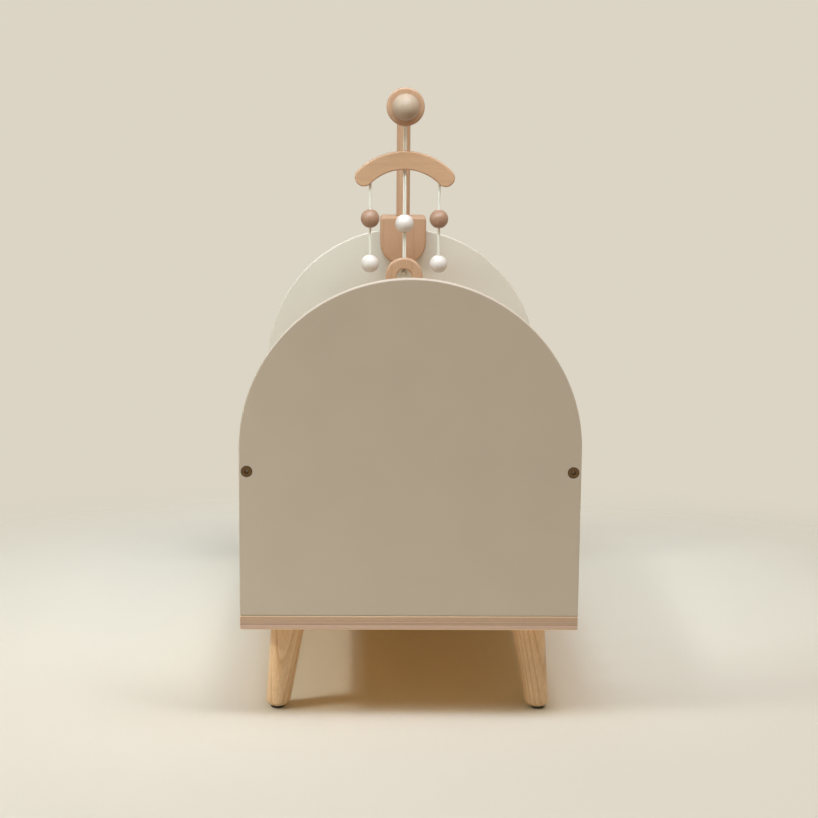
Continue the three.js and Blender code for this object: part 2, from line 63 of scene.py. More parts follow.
OVERCUT = 0.001  # how far a cutter stands out of the hole's mouth
UP = (0, 0, 1)
DOWN = (0, 0, -1)
HEADWARD = (0, 1, 0)
FOOTWARD = (0, -1, 0)

Colour = tuple[float, float, float]
Place = tuple[float, float, float]
Point = tuple[float, float]
Corner = tuple[float, float, float]  # a point and the radius that rounds it
Loop = Sequence[Vector]
Shape = bmesh.types.BMesh
Socket = bpy.types.NodeSocket

NONE: Colour = (0, 0, 0)
FULL: Colour = (1, 1, 1)
USUAL_PITH: Point = (38.0, 21.0)  # millimetres off the axes across the grain


def tone(red: int, green: int, blue: int) -> Colour:
    """Turn a display colour into the linear light that shaders use.

    Args:
        red: Red, 0 to 255.
        green: Green, 0 to 255.
        blue: Blue, 0 to 255.

    Returns:
        The same colour in linear light, 0 to 1.
    """
    parts = (value / 255 for value in (red, green, blue))
    return tuple(c / 12.92 if c <= 0.04045 else ((c + 0.055) / 1.055) ** 2.4 for c in parts)


class Grain(Enum):
    """The axis that wood fibres follow, as the order in which a place's coordinates are read."""

    ALONG_X = "YZX"
    ALONG_Y = "ZXY"
    ALONG_Z = "XYZ"


class Body(Enum):
    """The moving groups of the frame."""

    COT = "cot"
    STAND = "stand"
    LINE = "line"
    HANGER = "hanger_bar"
    LEFT_DROP = "left_drop"
    RIGHT_DROP = "right_drop"
    CENTRE_DROP = "centre_drop"
    LEFT_BROWN = "left_brown"
    LEFT_WHITE = "left_white"
    RIGHT_BROWN = "right_brown"
    RIGHT_WHITE = "right_white"
    CENTRE_BEAD = "centre_ball"
    RAINBOW = "rainbow"


# Node trees


class Graph:
    """A node tree under construction."""

    def __init__(self, tree: bpy.types.NodeTree) -> None:
        """Start on a tree.

        Args:
            tree: The tree that nodes are added to.
        """
        self.tree = tree

    def add(self, kind: str, inputs: dict | None = None, **settings: object) -> bpy.types.Node:
        """Add a node.

        Args:
            kind: The node's type name.
            inputs: Values or sockets for its inputs, by name or number.
            **settings: Attributes of the node itself.

        Returns:
            The new node.
        """
        node = self.tree.nodes.new(kind)
        for name, value in settings.items():
            setattr(node, name, value)
        for key, value in (inputs or {}).items():
            if isinstance(value, Socket):
                self.tree.links.new(value, node.inputs[key])
            elif value is not None:
                node.inputs[key].default_value = value
        return node

    def math(self, operation: str, *values: Socket | float) -> Socket:
        """Work out a number from others.

        Args:
            operation: The math node's operation.
            *values: Its inputs.

        Returns:
            The result.
        """
        return self.add("ShaderNodeMath", dict(enumerate(values)), operation=operation).outputs[0]

    def split(self, vector: Socket) -> list[Socket]:
        """Take a vector apart into its three numbers."""
        return list(self.add("ShaderNodeSeparateXYZ", {0: vector}).outputs)

    def join(self, x: Socket | float, y: Socket | float, z: Socket | float) -> Socket:
        """Put three numbers together into a vector."""
        return self.add("ShaderNodeCombineXYZ", {0: x, 1: y, 2: z}).outputs[0]

    def noise(self, place: Socket, scale: float, detail: float = 2.0) -> bpy.types.Node:
        """Add soft noise.

        Args:
            place: Where it is read.
            scale: Its features for each unit of length.
            detail: How many finer layers lie on it.

        Returns:
            The noise node: output 0 is its value and output 1 three values.
        """
        return self.add("ShaderNodeTexNoise", {"Vector": place, "Scale": scale, "Detail": detail})

    def ramp(self, value: Socket, stops: Sequence[tuple[float, Colour]], steps: bool = False) -> Socket:
        """Turn a number into a colour.

        Args:
            value: The number, 0 to 1.
            stops: Places along it and their colours.
            steps: Whether the colours change in steps.

        Returns:
            The colour.
        """
        node = self.add("ShaderNodeValToRGB", {0: value})
        node.color_ramp.interpolation = "CONSTANT" if steps else "LINEAR"
        marks = node.color_ramp.elements
        while len(marks) < len(stops):
            marks.new(1.0)
        for mark, (place, colour) in zip(marks, stops):
            mark.position = place
            mark.color = (*colour, 1.0)
        return node.outputs[0]

    def mix(self, share: Socket | float, first: Socket | Colour, second: Socket | Colour,
            blend: str = "MIX") -> Socket:
        """Blend two colours.

        Args:
            share: How much of the second one.
            first: The colour under it.
            second: The colour laid on it.
            blend: The way they are blended.

        Returns:
            The blended colour.
        """
        first, second = ((*c, 1.0) if isinstance(c, tuple) else c for c in (first, second))
        inputs = {0: share, 6: first, 7: second}
        return self.add("ShaderNodeMix", inputs, data_type="RGBA", blend_type=blend).outputs[2]

    def shaded(self, colour: Socket | Colour, pattern: Socket, low: Point, high: Point) -> Socket:
        """Lighten and darken a colour by a pattern.

        Args:
            colour: The colour.
            pattern: The pattern, 0 to 1.
            low: A value of the pattern, and the share of the light that is left there.
            high: A higher value, and its share.

        Returns:
            The shaded colour.
        """
        stops = [(value, (share,) * 3) for value, share in (low, high)]
        return self.mix(1.0, colour, self.ramp(pattern, stops), "MULTIPLY")

    def millimetres(self) -> Socket:
        """The place on the piece, in millimetres of the frame."""
        place = self.add("ShaderNodeTexCoord").outputs["Object"]
        return self.add("ShaderNodeVectorMath", {0: place, 3: 1000.0}, operation="SCALE").outputs[0]

    def bump(self, height: Socket, depth: float) -> Socket:
        """Raise the surface a little.

        Args:
            height: The relief, 0 to 1.
            depth: How deep it is, in metres.

        Returns:
            The normal.
        """
        inputs = {"Height": height, "Distance": depth, "Strength": 1.0}
        return self.add("ShaderNodeBump", inputs).outputs[0]


def blank(owner: bpy.types.Material | bpy.types.World) -> Graph:
    """Give a material or a world an empty node tree.

    Args:
        owner: The material or world.

    Returns:
        The tree.
    """
    owner.use_nodes = True
    owner.node_tree.nodes.clear()
    return Graph(owner.node_tree)


# Finishes


@dataclass(frozen=True)
class Finish:
    """What a surface is made of. Each kind dresses the shader in its own way."""

    name: str
    slot: str
    roughness: float

    def material(self) -> bpy.types.Material:
        """Make the material, or find the one made before.

        Returns:
            The material.
        """
        known = bpy.data.materials.get(self.name)
        if known:
            return known
        material = bpy.data.materials.new(self.name)
        graph = blank(material)
        shader = graph.add("ShaderNodeBsdfPrincipled", {"Roughness": self.roughness})
        graph.add("ShaderNodeOutputMaterial", {"Surface": shader.outputs[0]})
        self.dress(graph, shader)
        return material

    def dress(self, graph: Graph, shader: bpy.types.Node) -> None:
        """Give the shader its colour and relief.

        Args:
            graph: The material's nodes.
            shader: Its surface shader.
        """
        raise NotImplementedError

    def set(self, graph: Graph, shader: bpy.types.Node, **sockets: Socket | float | tuple) -> None:
        """Fill the shader's own sockets.

        Args:
            graph: The material's nodes.
            shader: Its surface shader.
            **sockets: Values by socket name, with underscores for spaces.
        """
        for key, value in sockets.items():
            socket = shader.inputs[key.replace("_", " ")]
            if isinstance(value, Socket):
                graph.tree.links.new(value, socket)
            else:
                socket.default_value = (*value, 1.0) if isinstance(value, tuple) else value


@dataclass(frozen=True)
class Wood(Finish):
    """Solid wood with growth rings round a pith, fibre streaks and short dark flecks."""

    grain: Grain
    early: Colour
    late: Colour
    fleck: Colour
    ring: float = 3.2  # millimetres between rings
    pith: Point = USUAL_PITH
    wander: float = 9.0  # millimetres that the rings stray
    flecks: float = 0.25
    contrast: float = 0.6  # of the rings
    streaks: float = 0.07  # how much the fibre streaks darken
    lacquer: float = 0.0
    splay: float = 0.0  # how far the fibres lean out from the middle, for each unit of depth
    stretch: float = 0.03  # how fast rings and streaks change along the grain, against across it
    dash: float = 0.16  # the same for the flecks
    relief: float = 0.00003  # depth of the streaks

    def dress(self, graph: Graph, shader: bpy.types.Node) -> None:
        """Lay rings, streaks and flecks along the grain."""
        x, y, z = graph.split(graph.millimetres())
        if self.splay:
            lean = graph.math("MULTIPLY", z, self.splay)
            x, y = (graph.math("MULTIPLY_ADD", graph.math("SIGN", value), lean, value)
                    for value in (x, y))
        axes = {"X": x, "Y": y, "Z": z}
        across, over, along = (axes[letter] for letter in self.grain.value)
        drawn = graph.join(across, over, graph.math("MULTIPLY", along, self.stretch))
        stray = graph.split(graph.noise(drawn, 0.045, 2.0).outputs[1])
        sides = []
        for value, shift, offset in zip((across, over), stray, self.pith):
            swing = graph.math("MULTIPLY_ADD", shift, self.wander, offset)
            sides.append(graph.math("ADD", value, swing))
        squares = [graph.math("MULTIPLY", side, side) for side in sides]
        reach = graph.math("SQRT", graph.math("ADD", *squares))
        year = graph.math("FRACT", graph.math("DIVIDE", reach, self.ring))
        rings = graph.ramp(year, [(0.0, NONE), (0.62, (0.3,) * 3), (0.9, FULL), (1.0, NONE)])
        share = graph.math("MULTIPLY", rings, graph.noise(drawn, 0.12).outputs[0])
        share = graph.math("MULTIPLY", share, self.contrast)
        colour = graph.mix(share, self.early, self.late)
        streak = graph.noise(drawn, 1.9, 3.0).outputs[0]
        colour = graph.shaded(colour, streak, (0.3, 1 - self.streaks), (0.7, 1.03))
        dashes = graph.join(across, over, graph.math("MULTIPLY", along, self.dash))
        spot = graph.ramp(graph.noise(dashes, 1.5, 0.0).outputs[0], [(0.66, NONE), (0.74, FULL)])
        colour = graph.mix(graph.math("MULTIPLY", spot, self.flecks), colour, self.fleck)
        rough = graph.math("MULTIPLY_ADD", streak, 0.14, self.roughness - 0.07)
        normal = graph.bump(streak, self.relief)
        self.set(graph, shader, Base_Color=colour, Roughness=rough, Normal=normal)
        self.set(graph, shader, Coat_Weight=self.lacquer, Coat_Roughness=0.25, Specular_IOR_Level=0.4)


@dataclass(frozen=True)
class Paint(Finish):
    """Sprayed paint: nearly even, with a fine orange peel."""

    colour: Colour
    peel: float = 0.000015  # depth of its grain

    def dress(self, graph: Graph, shader: bpy.types.Node) -> None:
        """Lay one even coat."""
        place = graph.millimetres()
        cloud = graph.noise(place, 0.02).outputs[0]
        colour = graph.shaded(self.colour, cloud, (0.2, 0.975), (0.8, 1.02))
        grit = graph.noise(place, 1.4, 2.0).outputs[0]
        rough = graph.math("MULTIPLY_ADD", grit, 0.1, self.roughness - 0.05)
        self.set(graph, shader, Base_Color=colour, Roughness=rough, Normal=graph.bump(grit, self.peel))


@dataclass(frozen=True)
class Ply(Finish):
    """Plywood: rotary-cut veneers above and below, and plies of several tones at its edges."""

    under: float  # height of the board's underside, in millimetres
    thick: float
    face: Colour  # the veneer above
    back: Colour  # the veneer below
    plies: tuple[tuple[float, Colour], ...]  # where each starts, in millimetres, and its tone
    relief: float = 0.00004  # depth of the streaks

    def dress(self, graph: Graph, shader: bpy.types.Node) -> None:
        """Show plies where the surface is upright and veneer where it lies flat."""
        place = graph.millimetres()
        x, y, z = graph.split(place)
        layer = graph.math("DIVIDE", graph.math("SUBTRACT", z, self.under), self.thick)
        tones = [(start / self.thick, colour) for start, colour in self.plies]
        edge = graph.ramp(layer, tones, steps=True)
        drawn = graph.join(graph.math("MULTIPLY", x, 0.05), graph.math("MULTIPLY", y, 0.05), z)
        streak = graph.noise(drawn, 2.4, 3.0).outputs[0]
        edge = graph.shaded(edge, streak, (0.3, 0.9), (0.72, 1.05))
        veneer = graph.noise(graph.join(x, graph.math("MULTIPLY", y, 0.07), z), 0.07, 3.0).outputs[0]
        wave = graph.math("FRACT", graph.math("MULTIPLY", veneer, 7.0))
        facing = graph.split(graph.add("ShaderNodeTexCoord").outputs["Normal"])[2]
        sheet = graph.mix(graph.math("GREATER_THAN", facing, 0.0), self.back, self.face)
        flat = graph.shaded(sheet, wave, (0.0, 0.93), (1.0, 1.03))
        lying = graph.math("GREATER_THAN", graph.math("ABSOLUTE", facing), 0.7)
        colour = graph.mix(lying, edge, flat)
        self.set(graph, shader, Base_Color=colour, Normal=graph.bump(streak, self.relief))


@dataclass(frozen=True)
class Cotton(Finish):
    """Soft cotton yarn."""

    colour: Colour
    relief: float = 0.00006  # depth of the fuzz

    def dress(self, graph: Graph, shader: bpy.types.Node) -> None:
        """Give the yarn its fuzz."""
        fuzz = graph.noise(graph.millimetres(), 6.0, 3.0).outputs[0]
        colour = graph.shaded(self.colour, fuzz, (0.25, 0.9), (0.75, 1.04))
        self.set(graph, shader, Base_Color=colour, Normal=graph.bump(fuzz, self.relief))
        self.set(graph, shader, Sheen_Weight=0.15, Sheen_Roughness=0.6)


@dataclass(frozen=True)
class Metal(Finish):
    """A plated metal."""

    colour: Colour
    metallic: float = 1.0

    def dress(self, graph: Graph, shader: bpy.types.Node) -> None:
        """Vary the plating a little."""
        cloud = graph.noise(graph.millimetres(), 0.9, 2.0).outputs[0]
        colour = graph.shaded(self.colour, cloud, (0.3, 0.8), (0.7, 1.15))
        rough = graph.math("MULTIPLY_ADD", cloud, 0.16, self.roughness - 0.08)
        self.set(graph, shader, Base_Color=colour, Roughness=rough, Metallic=self.metallic)


@dataclass(frozen=True)
class Moulded(Finish):
    """Moulded plastic with a fine spark-eroded grain."""

    colour: Colour
    relief: float = 0.00002  # depth of the grain

    def dress(self, graph: Graph, shader: bpy.types.Node) -> None:
        """Grain the surface."""
        grit = graph.noise(graph.millimetres(), 3.5, 1.0).outputs[0]
        self.set(graph, shader, Base_Color=self.colour, Normal=graph.bump(grit, self.relief))


def beech(name: str, grain: Grain, early: Colour, late: Colour, pith: Point = USUAL_PITH) -> Wood:
    """Oiled beech as the stand and the mobile have it.

    Args:
        name: The finish's name.
        grain: Which way the fibres run.
        early: The pale wood between the rings.
        late: The darker wood of the rings.
        pith: Where its rings are centred, in millimetres across the grain.

    Returns:
        The finish.
    """
    return Wood(name, "beech", 0.48, grain, early, late, fleck=tone(150, 112, 82), pith=pith)


PANEL_PAINT = Paint("cream_paint", "painted_ply", 0.46, tone(208, 199, 187))
BROWN_PAINT = Paint("rose_brown_paint", "brown_paint", 0.42, tone(157, 120, 98), peel=0.00001)
WHITE_PAINT = Paint("warm_white_paint", "white_paint", 0.4, tone(210, 199, 194), peel=0.00001)
PALE_PLY = tone(245, 221, 194)
TAN_PLY = tone(206, 177, 153)
ROSE_PLY = tone(219, 192, 178)
GLUE_LINE = tone(169, 142, 120)
BOARD_PLY = Ply(
    "birch_ply",
    "ply",
    0.5,
    82.0,
    13.0,
    tone(208, 192, 167),
    tone(250, 196, 120),
    (
        (0.0, PALE_PLY),
        (1.0, GLUE_LINE),
        (1.2, ROSE_PLY),
        (4.6, GLUE_LINE),
        (5.0, TAN_PLY),
        (6.2, GLUE_LINE),
        (6.6, ROSE_PLY),
        (7.6, GLUE_LINE),
        (7.9, TAN_PLY),
        (11.5, GLUE_LINE),
        (11.7, PALE_PLY),
    ),
)
LEG_WOOD = Wood("turned_pine", "pine", 0.4, Grain.ALONG_Z, tone(236, 205, 165), tone(202, 157, 111),
                tone(174, 128, 87), ring=3.4, pith=(90.0, 24.0), wander=3.0, flecks=0.2,
                contrast=1.2, streaks=0.22, lacquer=0.25, splay=0.124)
BALL_WOOD = Wood("pale_turned_wood", "pale_wood", 0.44, Grain.ALONG_X, tone(170, 146, 127),
                 tone(155, 127, 104), tone(138, 107, 82), ring=2.6, wander=6.0, flecks=0.25)
BEECH_TONES = (tone(187, 148, 119), tone(164, 123, 94))
BEECH_UPRIGHT = beech("upright_beech", Grain.ALONG_Z, *BEECH_TONES)
BEECH_DISC = beech("disc_beech", Grain.ALONG_Z, tone(177, 137, 109), tone(160, 118, 88))
BEECH_ACROSS = beech("crosswise_beech", Grain.ALONG_X, tone(190, 149, 118), tone(172, 128, 98),
                     (60.0, -470.0))
BEECH_ARM = beech("arm_beech", Grain.ALONG_Y, *BEECH_TONES, (-500.0, 12.0))
SPINDLE_WOOD = beech("dowel_beech", Grain.ALONG_Z, *BEECH_TONES, (4.0, 7.0))
COTTON = Cotton("cotton_yarn", "cotton", 0.9, tone(232, 227, 217))
BRONZE = Metal("antique_bronze", "bronze", 0.42, tone(112, 88, 60), metallic=0.9)
ZINC = Metal("zinc_plate", "zinc", 0.34, tone(196, 198, 202))
BLACK = Moulded("black_plastic", "black", 0.55, tone(42, 31, 22))


# Shapes


def arc(centre: Point, radius: float, start: float, end: float, steps: int) -> list[Point]:
    """Follow an arc.

    Args:
        centre: Its centre.
        radius: Its radius.
        start: The first angle, in degrees.
        end: The last angle, in degrees.
        steps: How many chords it has.

    Returns:
        The points along it, both ends included.
    """
    angles = (math.radians(start + (end - start) * i / steps) for i in range(steps + 1))
    return [(centre[0] + radius * math.cos(a), centre[1] + radius * math.sin(a)) for a in angles]


def eased(corners: Sequence[Corner], closed: bool = False, steps: int = 4) -> list[Point]:
    """Round the corners of a line.

    Args:
        corners: Its corners, each with its radius.
        closed: Whether the last corner leads back to the first.
        steps: How many chords a rounded corner has.

    Returns:
        The points of the rounded line.
    """
    points = []
    for i, (x, y, radius) in enumerate(corners):
        if not radius or (not closed and i in (0, len(corners) - 1)):
            points.append((x, y))
            continue
        here = Vector((x, y))
        before = (Vector(corners[i - 1][:2]) - here).normalized()
        after = (Vector(corners[(i + 1) % len(corners)][:2]) - here).normalized()
        half = before.angle(after) / 2
        centre = here + (before + after).normalized() * radius / math.sin(half)
        first, last = (here + way * radius / math.tan(half) - centre for way in (before, after))
        start = math.degrees(math.atan2(first.y, first.x))
        turn = math.degrees(math.atan2(last.y, last.x)) - start
        turn = (turn + 180) % 360 - 180
        points += arc(centre, radius, start, start + turn, steps)
    return points


def ring(radius: float, height: float, sides: int, hexagonal: bool = False) -> Loop:
    """Make a level loop about the Z axis.

    Args:
        radius: Its radius, or half the width across flats of a hexagon.
        height: Its height.
        sides: How many points it has.
        hexagonal: Whether it is a hexagon.

    Returns:
        The loop.
    """
    loop = []
    sixth = math.pi / 3
    for i in range(sides):
        angle = math.tau * i / sides
        flat = math.cos((angle + sixth / 2) % sixth - sixth / 2) if hexagonal else 1.0
        way = Vector((math.cos(angle), math.sin(angle), 0))
        loop.append(way * (radius / flat) + Vector((0, 0, height)))
    return loop


def skin(loops: Iterable[Loop], closed: bool = False) -> Shape:
    """Stretch a surface over loops that have equally many points.

    Args:
        loops: The loops, in order.
        closed: Whether the last loop joins the first, in place of an end face on each.

    Returns:
        The closed surface, facing out.
    """
    shape = bmesh.new()
    rows = [[shape.verts.new(point) for point in loop] for loop in loops]
    if closed:
        rows.append(rows[0])
    for low, high in zip(rows, rows[1:]):
        for i in range(len(low)):
            k = (i + 1) % len(low)
            shape.faces.new((low[i], low[k], high[k], high[i]))
    if not closed:
        shape.faces.new(rows[0][::-1])
        shape.faces.new(rows[-1])
    bmesh.ops.remove_doubles(shape, verts=shape.verts, dist=FLUSH)
    bmesh.ops.recalc_face_normals(shape, faces=shape.faces)
    return shape


def turned(profile: Sequence[Point], sides: int = 64, closed: bool = False) -> Shape:
    """Turn a profile about the Z axis.

    Args:
        profile: Radius and height of each ring.
        sides: How many sides the rings have.
        closed: Whether the profile closes on itself, round a bore.

    Returns:
        The turned shape.
    """
    return skin([ring(radius, height, sides) for radius, height in profile], closed)


def plate(outline: Sequence[Point], front: float, back: float, eases: Point = (0.001, 0.001),
          steps: int = 4) -> Shape:
    """Give an outline in X and Z a depth along Y, with rounded rims.

    Args:
        outline: Its points, counter-clockwise seen from the foot.
        front: Where it starts along Y.
        back: Where it ends.
        eases: Radii of the front and the back rim.
        steps: How many chords a rim's rounding has.

    Returns:
        The plate.
    """
    count = len(outline)
    inward = []
    for i in range(count):
        here = Vector(outline[i])
        sides = ((here - Vector(outline[i - 1])), (Vector(outline[(i + 1) % count]) - here))
        first, second = (Vector((-side.y, side.x)).normalized() for side in sides)
        inward.append((first + second) / (1 + first.dot(second)))
    loops = []
    for ease, face, sign in ((eases[0], front, 1), (eases[1], back, -1)):
        rim = []
        for k in range(steps + 1):
            angle = math.pi / 2 * k / steps
            inset = ease * (1 - math.sin(angle))
            depth = face + sign * ease * (1 - math.cos(angle))
            rim.append([Vector((x + way.x * inset, depth, z + way.y * inset))
                        for (x, z), way in zip(outline, inward)])
        loops += rim if sign > 0 else rim[::-1]
    return skin(loops)


def moved(shape: Shape, place: Vector | Sequence[float], facing: Place = UP,
          lean: Matrix | None = None) -> Shape:
    """Put a shape that was made about the Z axis in its place.

    Args:
        shape: The shape, which is changed.
        place: Where its origin goes.
        facing: Which way its Z axis goes.
        lean: A change made before it is turned.

    Returns:
        The same shape.
    """
    turn = Vector(UP).rotation_difference(Vector(facing)).to_matrix().to_4x4()
    shape.transform(Matrix.Translation(place) @ turn @ (lean or Matrix.Identity(4)))
    return shape


def drill(radius: float, place: Sequence[float], facing: Place, depth: float) -> Shape:
    """Make the cutter of a round hole.

    Args:
        radius: The hole's radius.
        place: The middle of its mouth.
        facing: The way it goes in.
        depth: How deep it is.

    Returns:
        The cutter, which stands a little out of the mouth.
    """
    profile = [(0, -OVERCUT), (radius, -OVERCUT), (radius, depth), (0, depth)]
    return moved(turned(profile, 48), place, facing)


@dataclass(frozen=True)
class Thread:
    """A screw's thread, as ridges one above the other."""

    crest: float  # radius of a ridge
    root: float  # radius between two
    start: float  # height of its first ridge
    turns: int = 18
    pitch: float = 0.002

    def rings(self) -> list[Point]:
        """Give its profile.

        Returns:
            Radius and height of each ring.
        """
        profile = []
        for i in range(self.turns):
            height = self.start + self.pitch * i
            profile += [(self.crest, height), (self.root, height + self.pitch / 2)]
        return profile


# Making pieces


def shown(name: str, mesh: bpy.types.Mesh) -> bpy.types.Object:
    """Put a mesh in the scene."""
    thing = bpy.data.objects.new(name, mesh)
    bpy.context.scene.collection.objects.link(thing)
    return thing


def baked(thing: bpy.types.Object) -> bpy.types.Mesh:
    """Turn an object's modifiers into a plain mesh, and take them off.

    Args:
        thing: The object.

    Returns:
        Its new mesh, which it also has.
    """
    bpy.context.view_layer.update()
    graph = bpy.context.evaluated_depsgraph_get()
    mesh = bpy.data.meshes.new_from_object(thing.evaluated_get(graph), depsgraph=graph)
    thing.modifiers.clear()
    thing.data = mesh
    return mesh


def as_mesh(name: str, shape: Shape) -> bpy.types.Mesh:
    """Turn a shape into a mesh, and free it."""
    mesh = bpy.data.meshes.new(name)
    shape.to_mesh(mesh)
    shape.free()
    return mesh


@dataclass
class Maker:
    """Finishes one piece and hands it to the frame."""

    name: str
    finish: Finish
    body: Body
    stands_for: Sequence[str] = ()
    crease: float = 35.0  # degrees past which an edge stays sharp

    def from_shape(self, shape: Shape,
                   holes: Sequence[Shape] = ()) -> bpy.types.Object:
        """Make the piece from a shape.

        Args:
            shape: Its shape.
            holes: Cutters that are taken out of it.

        Returns:
            The finished piece.
        """
        thing = shown(self.name, as_mesh(self.name, shape))
        cutters = [shown(f"{self.name}_cutter", as_mesh("cutter", hole)) for hole in holes]
        for cutter in cutters:
            cut = thing.modifiers.new("cut", "BOOLEAN")
            cut.object = cutter
            cut.solver = "EXACT"
        if cutters:
            baked(thing)
        for cutter in cutters:
            bpy.data.objects.remove(cutter)
        thing.data.materials.clear()
        thing.data.materials.append(self.finish.material())
        return self.hand_over(thing)

    def from_mesh(self, mesh: bpy.types.Mesh) -> bpy.types.Object:
        """Make the piece from a mesh that has its material."""
        return self.hand_over(shown(self.name, mesh))

    def hand_over(self, thing: bpy.types.Object) -> bpy.types.Object:
        """Smooth the piece and tie it to its body.

        Args:
            thing: The piece.

        Returns:
            The same piece.
        """
        thing.data.shade_smooth()
        thing.data.set_sharp_from_angle(angle=math.radians(self.crease))
        weighted = thing.modifiers.new("even", "WEIGHTED_NORMAL")
        weighted.keep_sharp = True
        baked(thing)
        thing.name = self.name
        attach(thing, self.body.value)
        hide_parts(*self.stands_for)
        LOG.info("%s: %d faces", thing.name, len(thing.data.polygons))
        return thing


class Pattern(Graph):
    """A Geometry Nodes tree that grows a mesh from a seed shape and named sizes."""

    def __init__(self, name: str) -> None:
        """Start the tree.

        Args:
            name: Its name.
        """
        super().__init__(bpy.data.node_groups.new(name, "GeometryNodeTree"))
        faces = self.tree.interface
        faces.new_socket("Seed", in_out="INPUT", socket_type="NodeSocketGeometry")
        faces.new_socket("Piece", in_out="OUTPUT", socket_type="NodeSocketGeometry")
        self.source = self.add("NodeGroupInput")
        self.sizes: dict[str, object] = {}

    def size(self, name: str, value: object, kind: str = "Float") -> Socket:
        """Add a named input.

        Args:
            name: What it sets.
            value: Its value.
            kind: The type of its socket.

        Returns:
            The socket that gives it.
        """
        item = self.tree.interface.new_socket(name, in_out="INPUT", socket_type=f"NodeSocket{kind}")
        self.sizes[item.identifier] = value
        return self.source.outputs[name]

    def grow(self, geometry: Socket, finish: Finish, seed: bpy.types.Mesh) -> bpy.types.Mesh:
        """End the tree and run it.

        Args:
            geometry: What the tree has made.
            finish: The finish that it gets.
            seed: The mesh that it starts from.

        Returns:
            The grown mesh.
        """
        real = self.add("GeometryNodeRealizeInstances", {0: geometry}).outputs[0]
        dressed = self.add("GeometryNodeSetMaterial", {0: real, "Material": finish.material()})
        self.add("NodeGroupOutput", {0: dressed.outputs[0]})
        carrier = shown(self.tree.name, seed)
        modifier = carrier.modifiers.new("grow", "NODES")
        modifier.node_group = self.tree
        for identifier, value in self.sizes.items():
            modifier[identifier] = value
        mesh = baked(carrier)
        bpy.data.objects.remove(carrier)
        return mesh


def polyline(lines: Sequence[Loop], closed: bool = False) -> bpy.types.Mesh:
    """Make a mesh of bare edges.

    Args:
        lines: Lines, each a list of points.
        closed: Whether each line's end is joined to its start.

    Returns:
        The mesh.
    """
    points, edges = [], []
    for line in lines:
        first = len(points)
        points += [tuple(point) for point in line]
        edges += [(first + i, first + i + 1) for i in range(len(line) - 1)]
        if closed:
            edges.append((len(points) - 1, first))
    mesh = bpy.data.meshes.new("route")
    mesh.from_pydata(points, edges, [])
    return mesh


@dataclass(frozen=True)
class Yarn:
    """Twisted cotton cord."""

    radius: float = 0.001
    plies: int = 3
    pitch: float = 0.0075  # length of one turn of its twist
    groove: float = 0.16  # depth of the twist, as a share of the radius
    sides: int = 18
    steps: int = 16  # in one turn of the twist
    knot_steps: int = 72  # round a knot
    knot_lift: float = 1.6  # how far a knot's cord crosses over itself, against its loops' size

    def twisted(self, name: str, lines: Sequence[Loop], closed: bool = False) -> bpy.types.Mesh:
        """Lay cord along lines.

        Args:
            name: The tree's name.
            lines: The routes, each a list of points.
            closed: Whether they close on themselves.

        Returns:
            The cord's mesh.
        """
        tree = Pattern(name)
        radius = tree.size("Radius", self.radius)
        plies = tree.size("Plies", float(self.plies))
        twist = tree.size("Twist for each metre", math.tau / self.pitch)
        groove = tree.size("Groove", self.groove)
        step = tree.size("Step", self.pitch / self.steps)
        route = tree.add("GeometryNodeMeshToCurve", {0: tree.source.outputs[0]}).outputs[0]
        even = tree.add("GeometryNodeResampleCurve", {"Curve": route, "Length": step}, mode="LENGTH")
        run = tree.add("GeometryNodeSplineParameter").outputs["Length"]
        tilt = tree.math("MULTIPLY", run, twist)
        wound = tree.add("GeometryNodeSetCurveTilt", {"Curve": even.outputs[0], "Tilt": tilt})
        inputs = {"Resolution": self.sides, "Radius": radius}
        circle = tree.add("GeometryNodeCurvePrimitiveCircle", inputs).outputs[0]
        spot = tree.add("GeometryNodeInputPosition").outputs[0]
        x, y, _ = tree.split(spot)
        around = tree.math("MULTIPLY", tree.math("ARCTAN2", y, x), plies)
        dip = tree.math("MULTIPLY", tree.math("SUBTRACT", tree.math("COSINE", around), 1.0), 0.5)
        swell = tree.math("MULTIPLY_ADD", dip, groove, 1.0)
        lobed = tree.add("ShaderNodeVectorMath", {0: spot, 3: swell}, operation="SCALE").outputs[0]
        inputs = {"Geometry": circle, "Position": lobed}
        section = tree.add("GeometryNodeSetPosition", inputs).outputs[0]
        inputs = {"Curve": wound.outputs[0], "Profile Curve": section, "Fill Caps": True}
        tube = tree.add("GeometryNodeCurveToMesh", inputs).outputs[0]
        return tree.grow(tube, COTTON, polyline(lines, closed))

    def knot(self, name: str, centre: Vector, reach: float) -> bpy.types.Mesh:
        """Tie a tight knot.

        Args:
            name: The tree's name.
            centre: Its middle.
            reach: Its outer radius.

        Returns:
            The knot's mesh.
        """
        scale = (reach - self.radius) / 3  # its loops reach three units out
        line = []
        for i in range(self.knot_steps):
            t = math.tau * i / self.knot_steps
            x = math.sin(t) + 2 * math.sin(2 * t)
            y = math.cos(t) - 2 * math.cos(2 * t)
            line.append(centre + scale * Vector((x, y, -self.knot_lift * math.sin(3 * t))))
        return self.twisted(name, [line], closed=True)


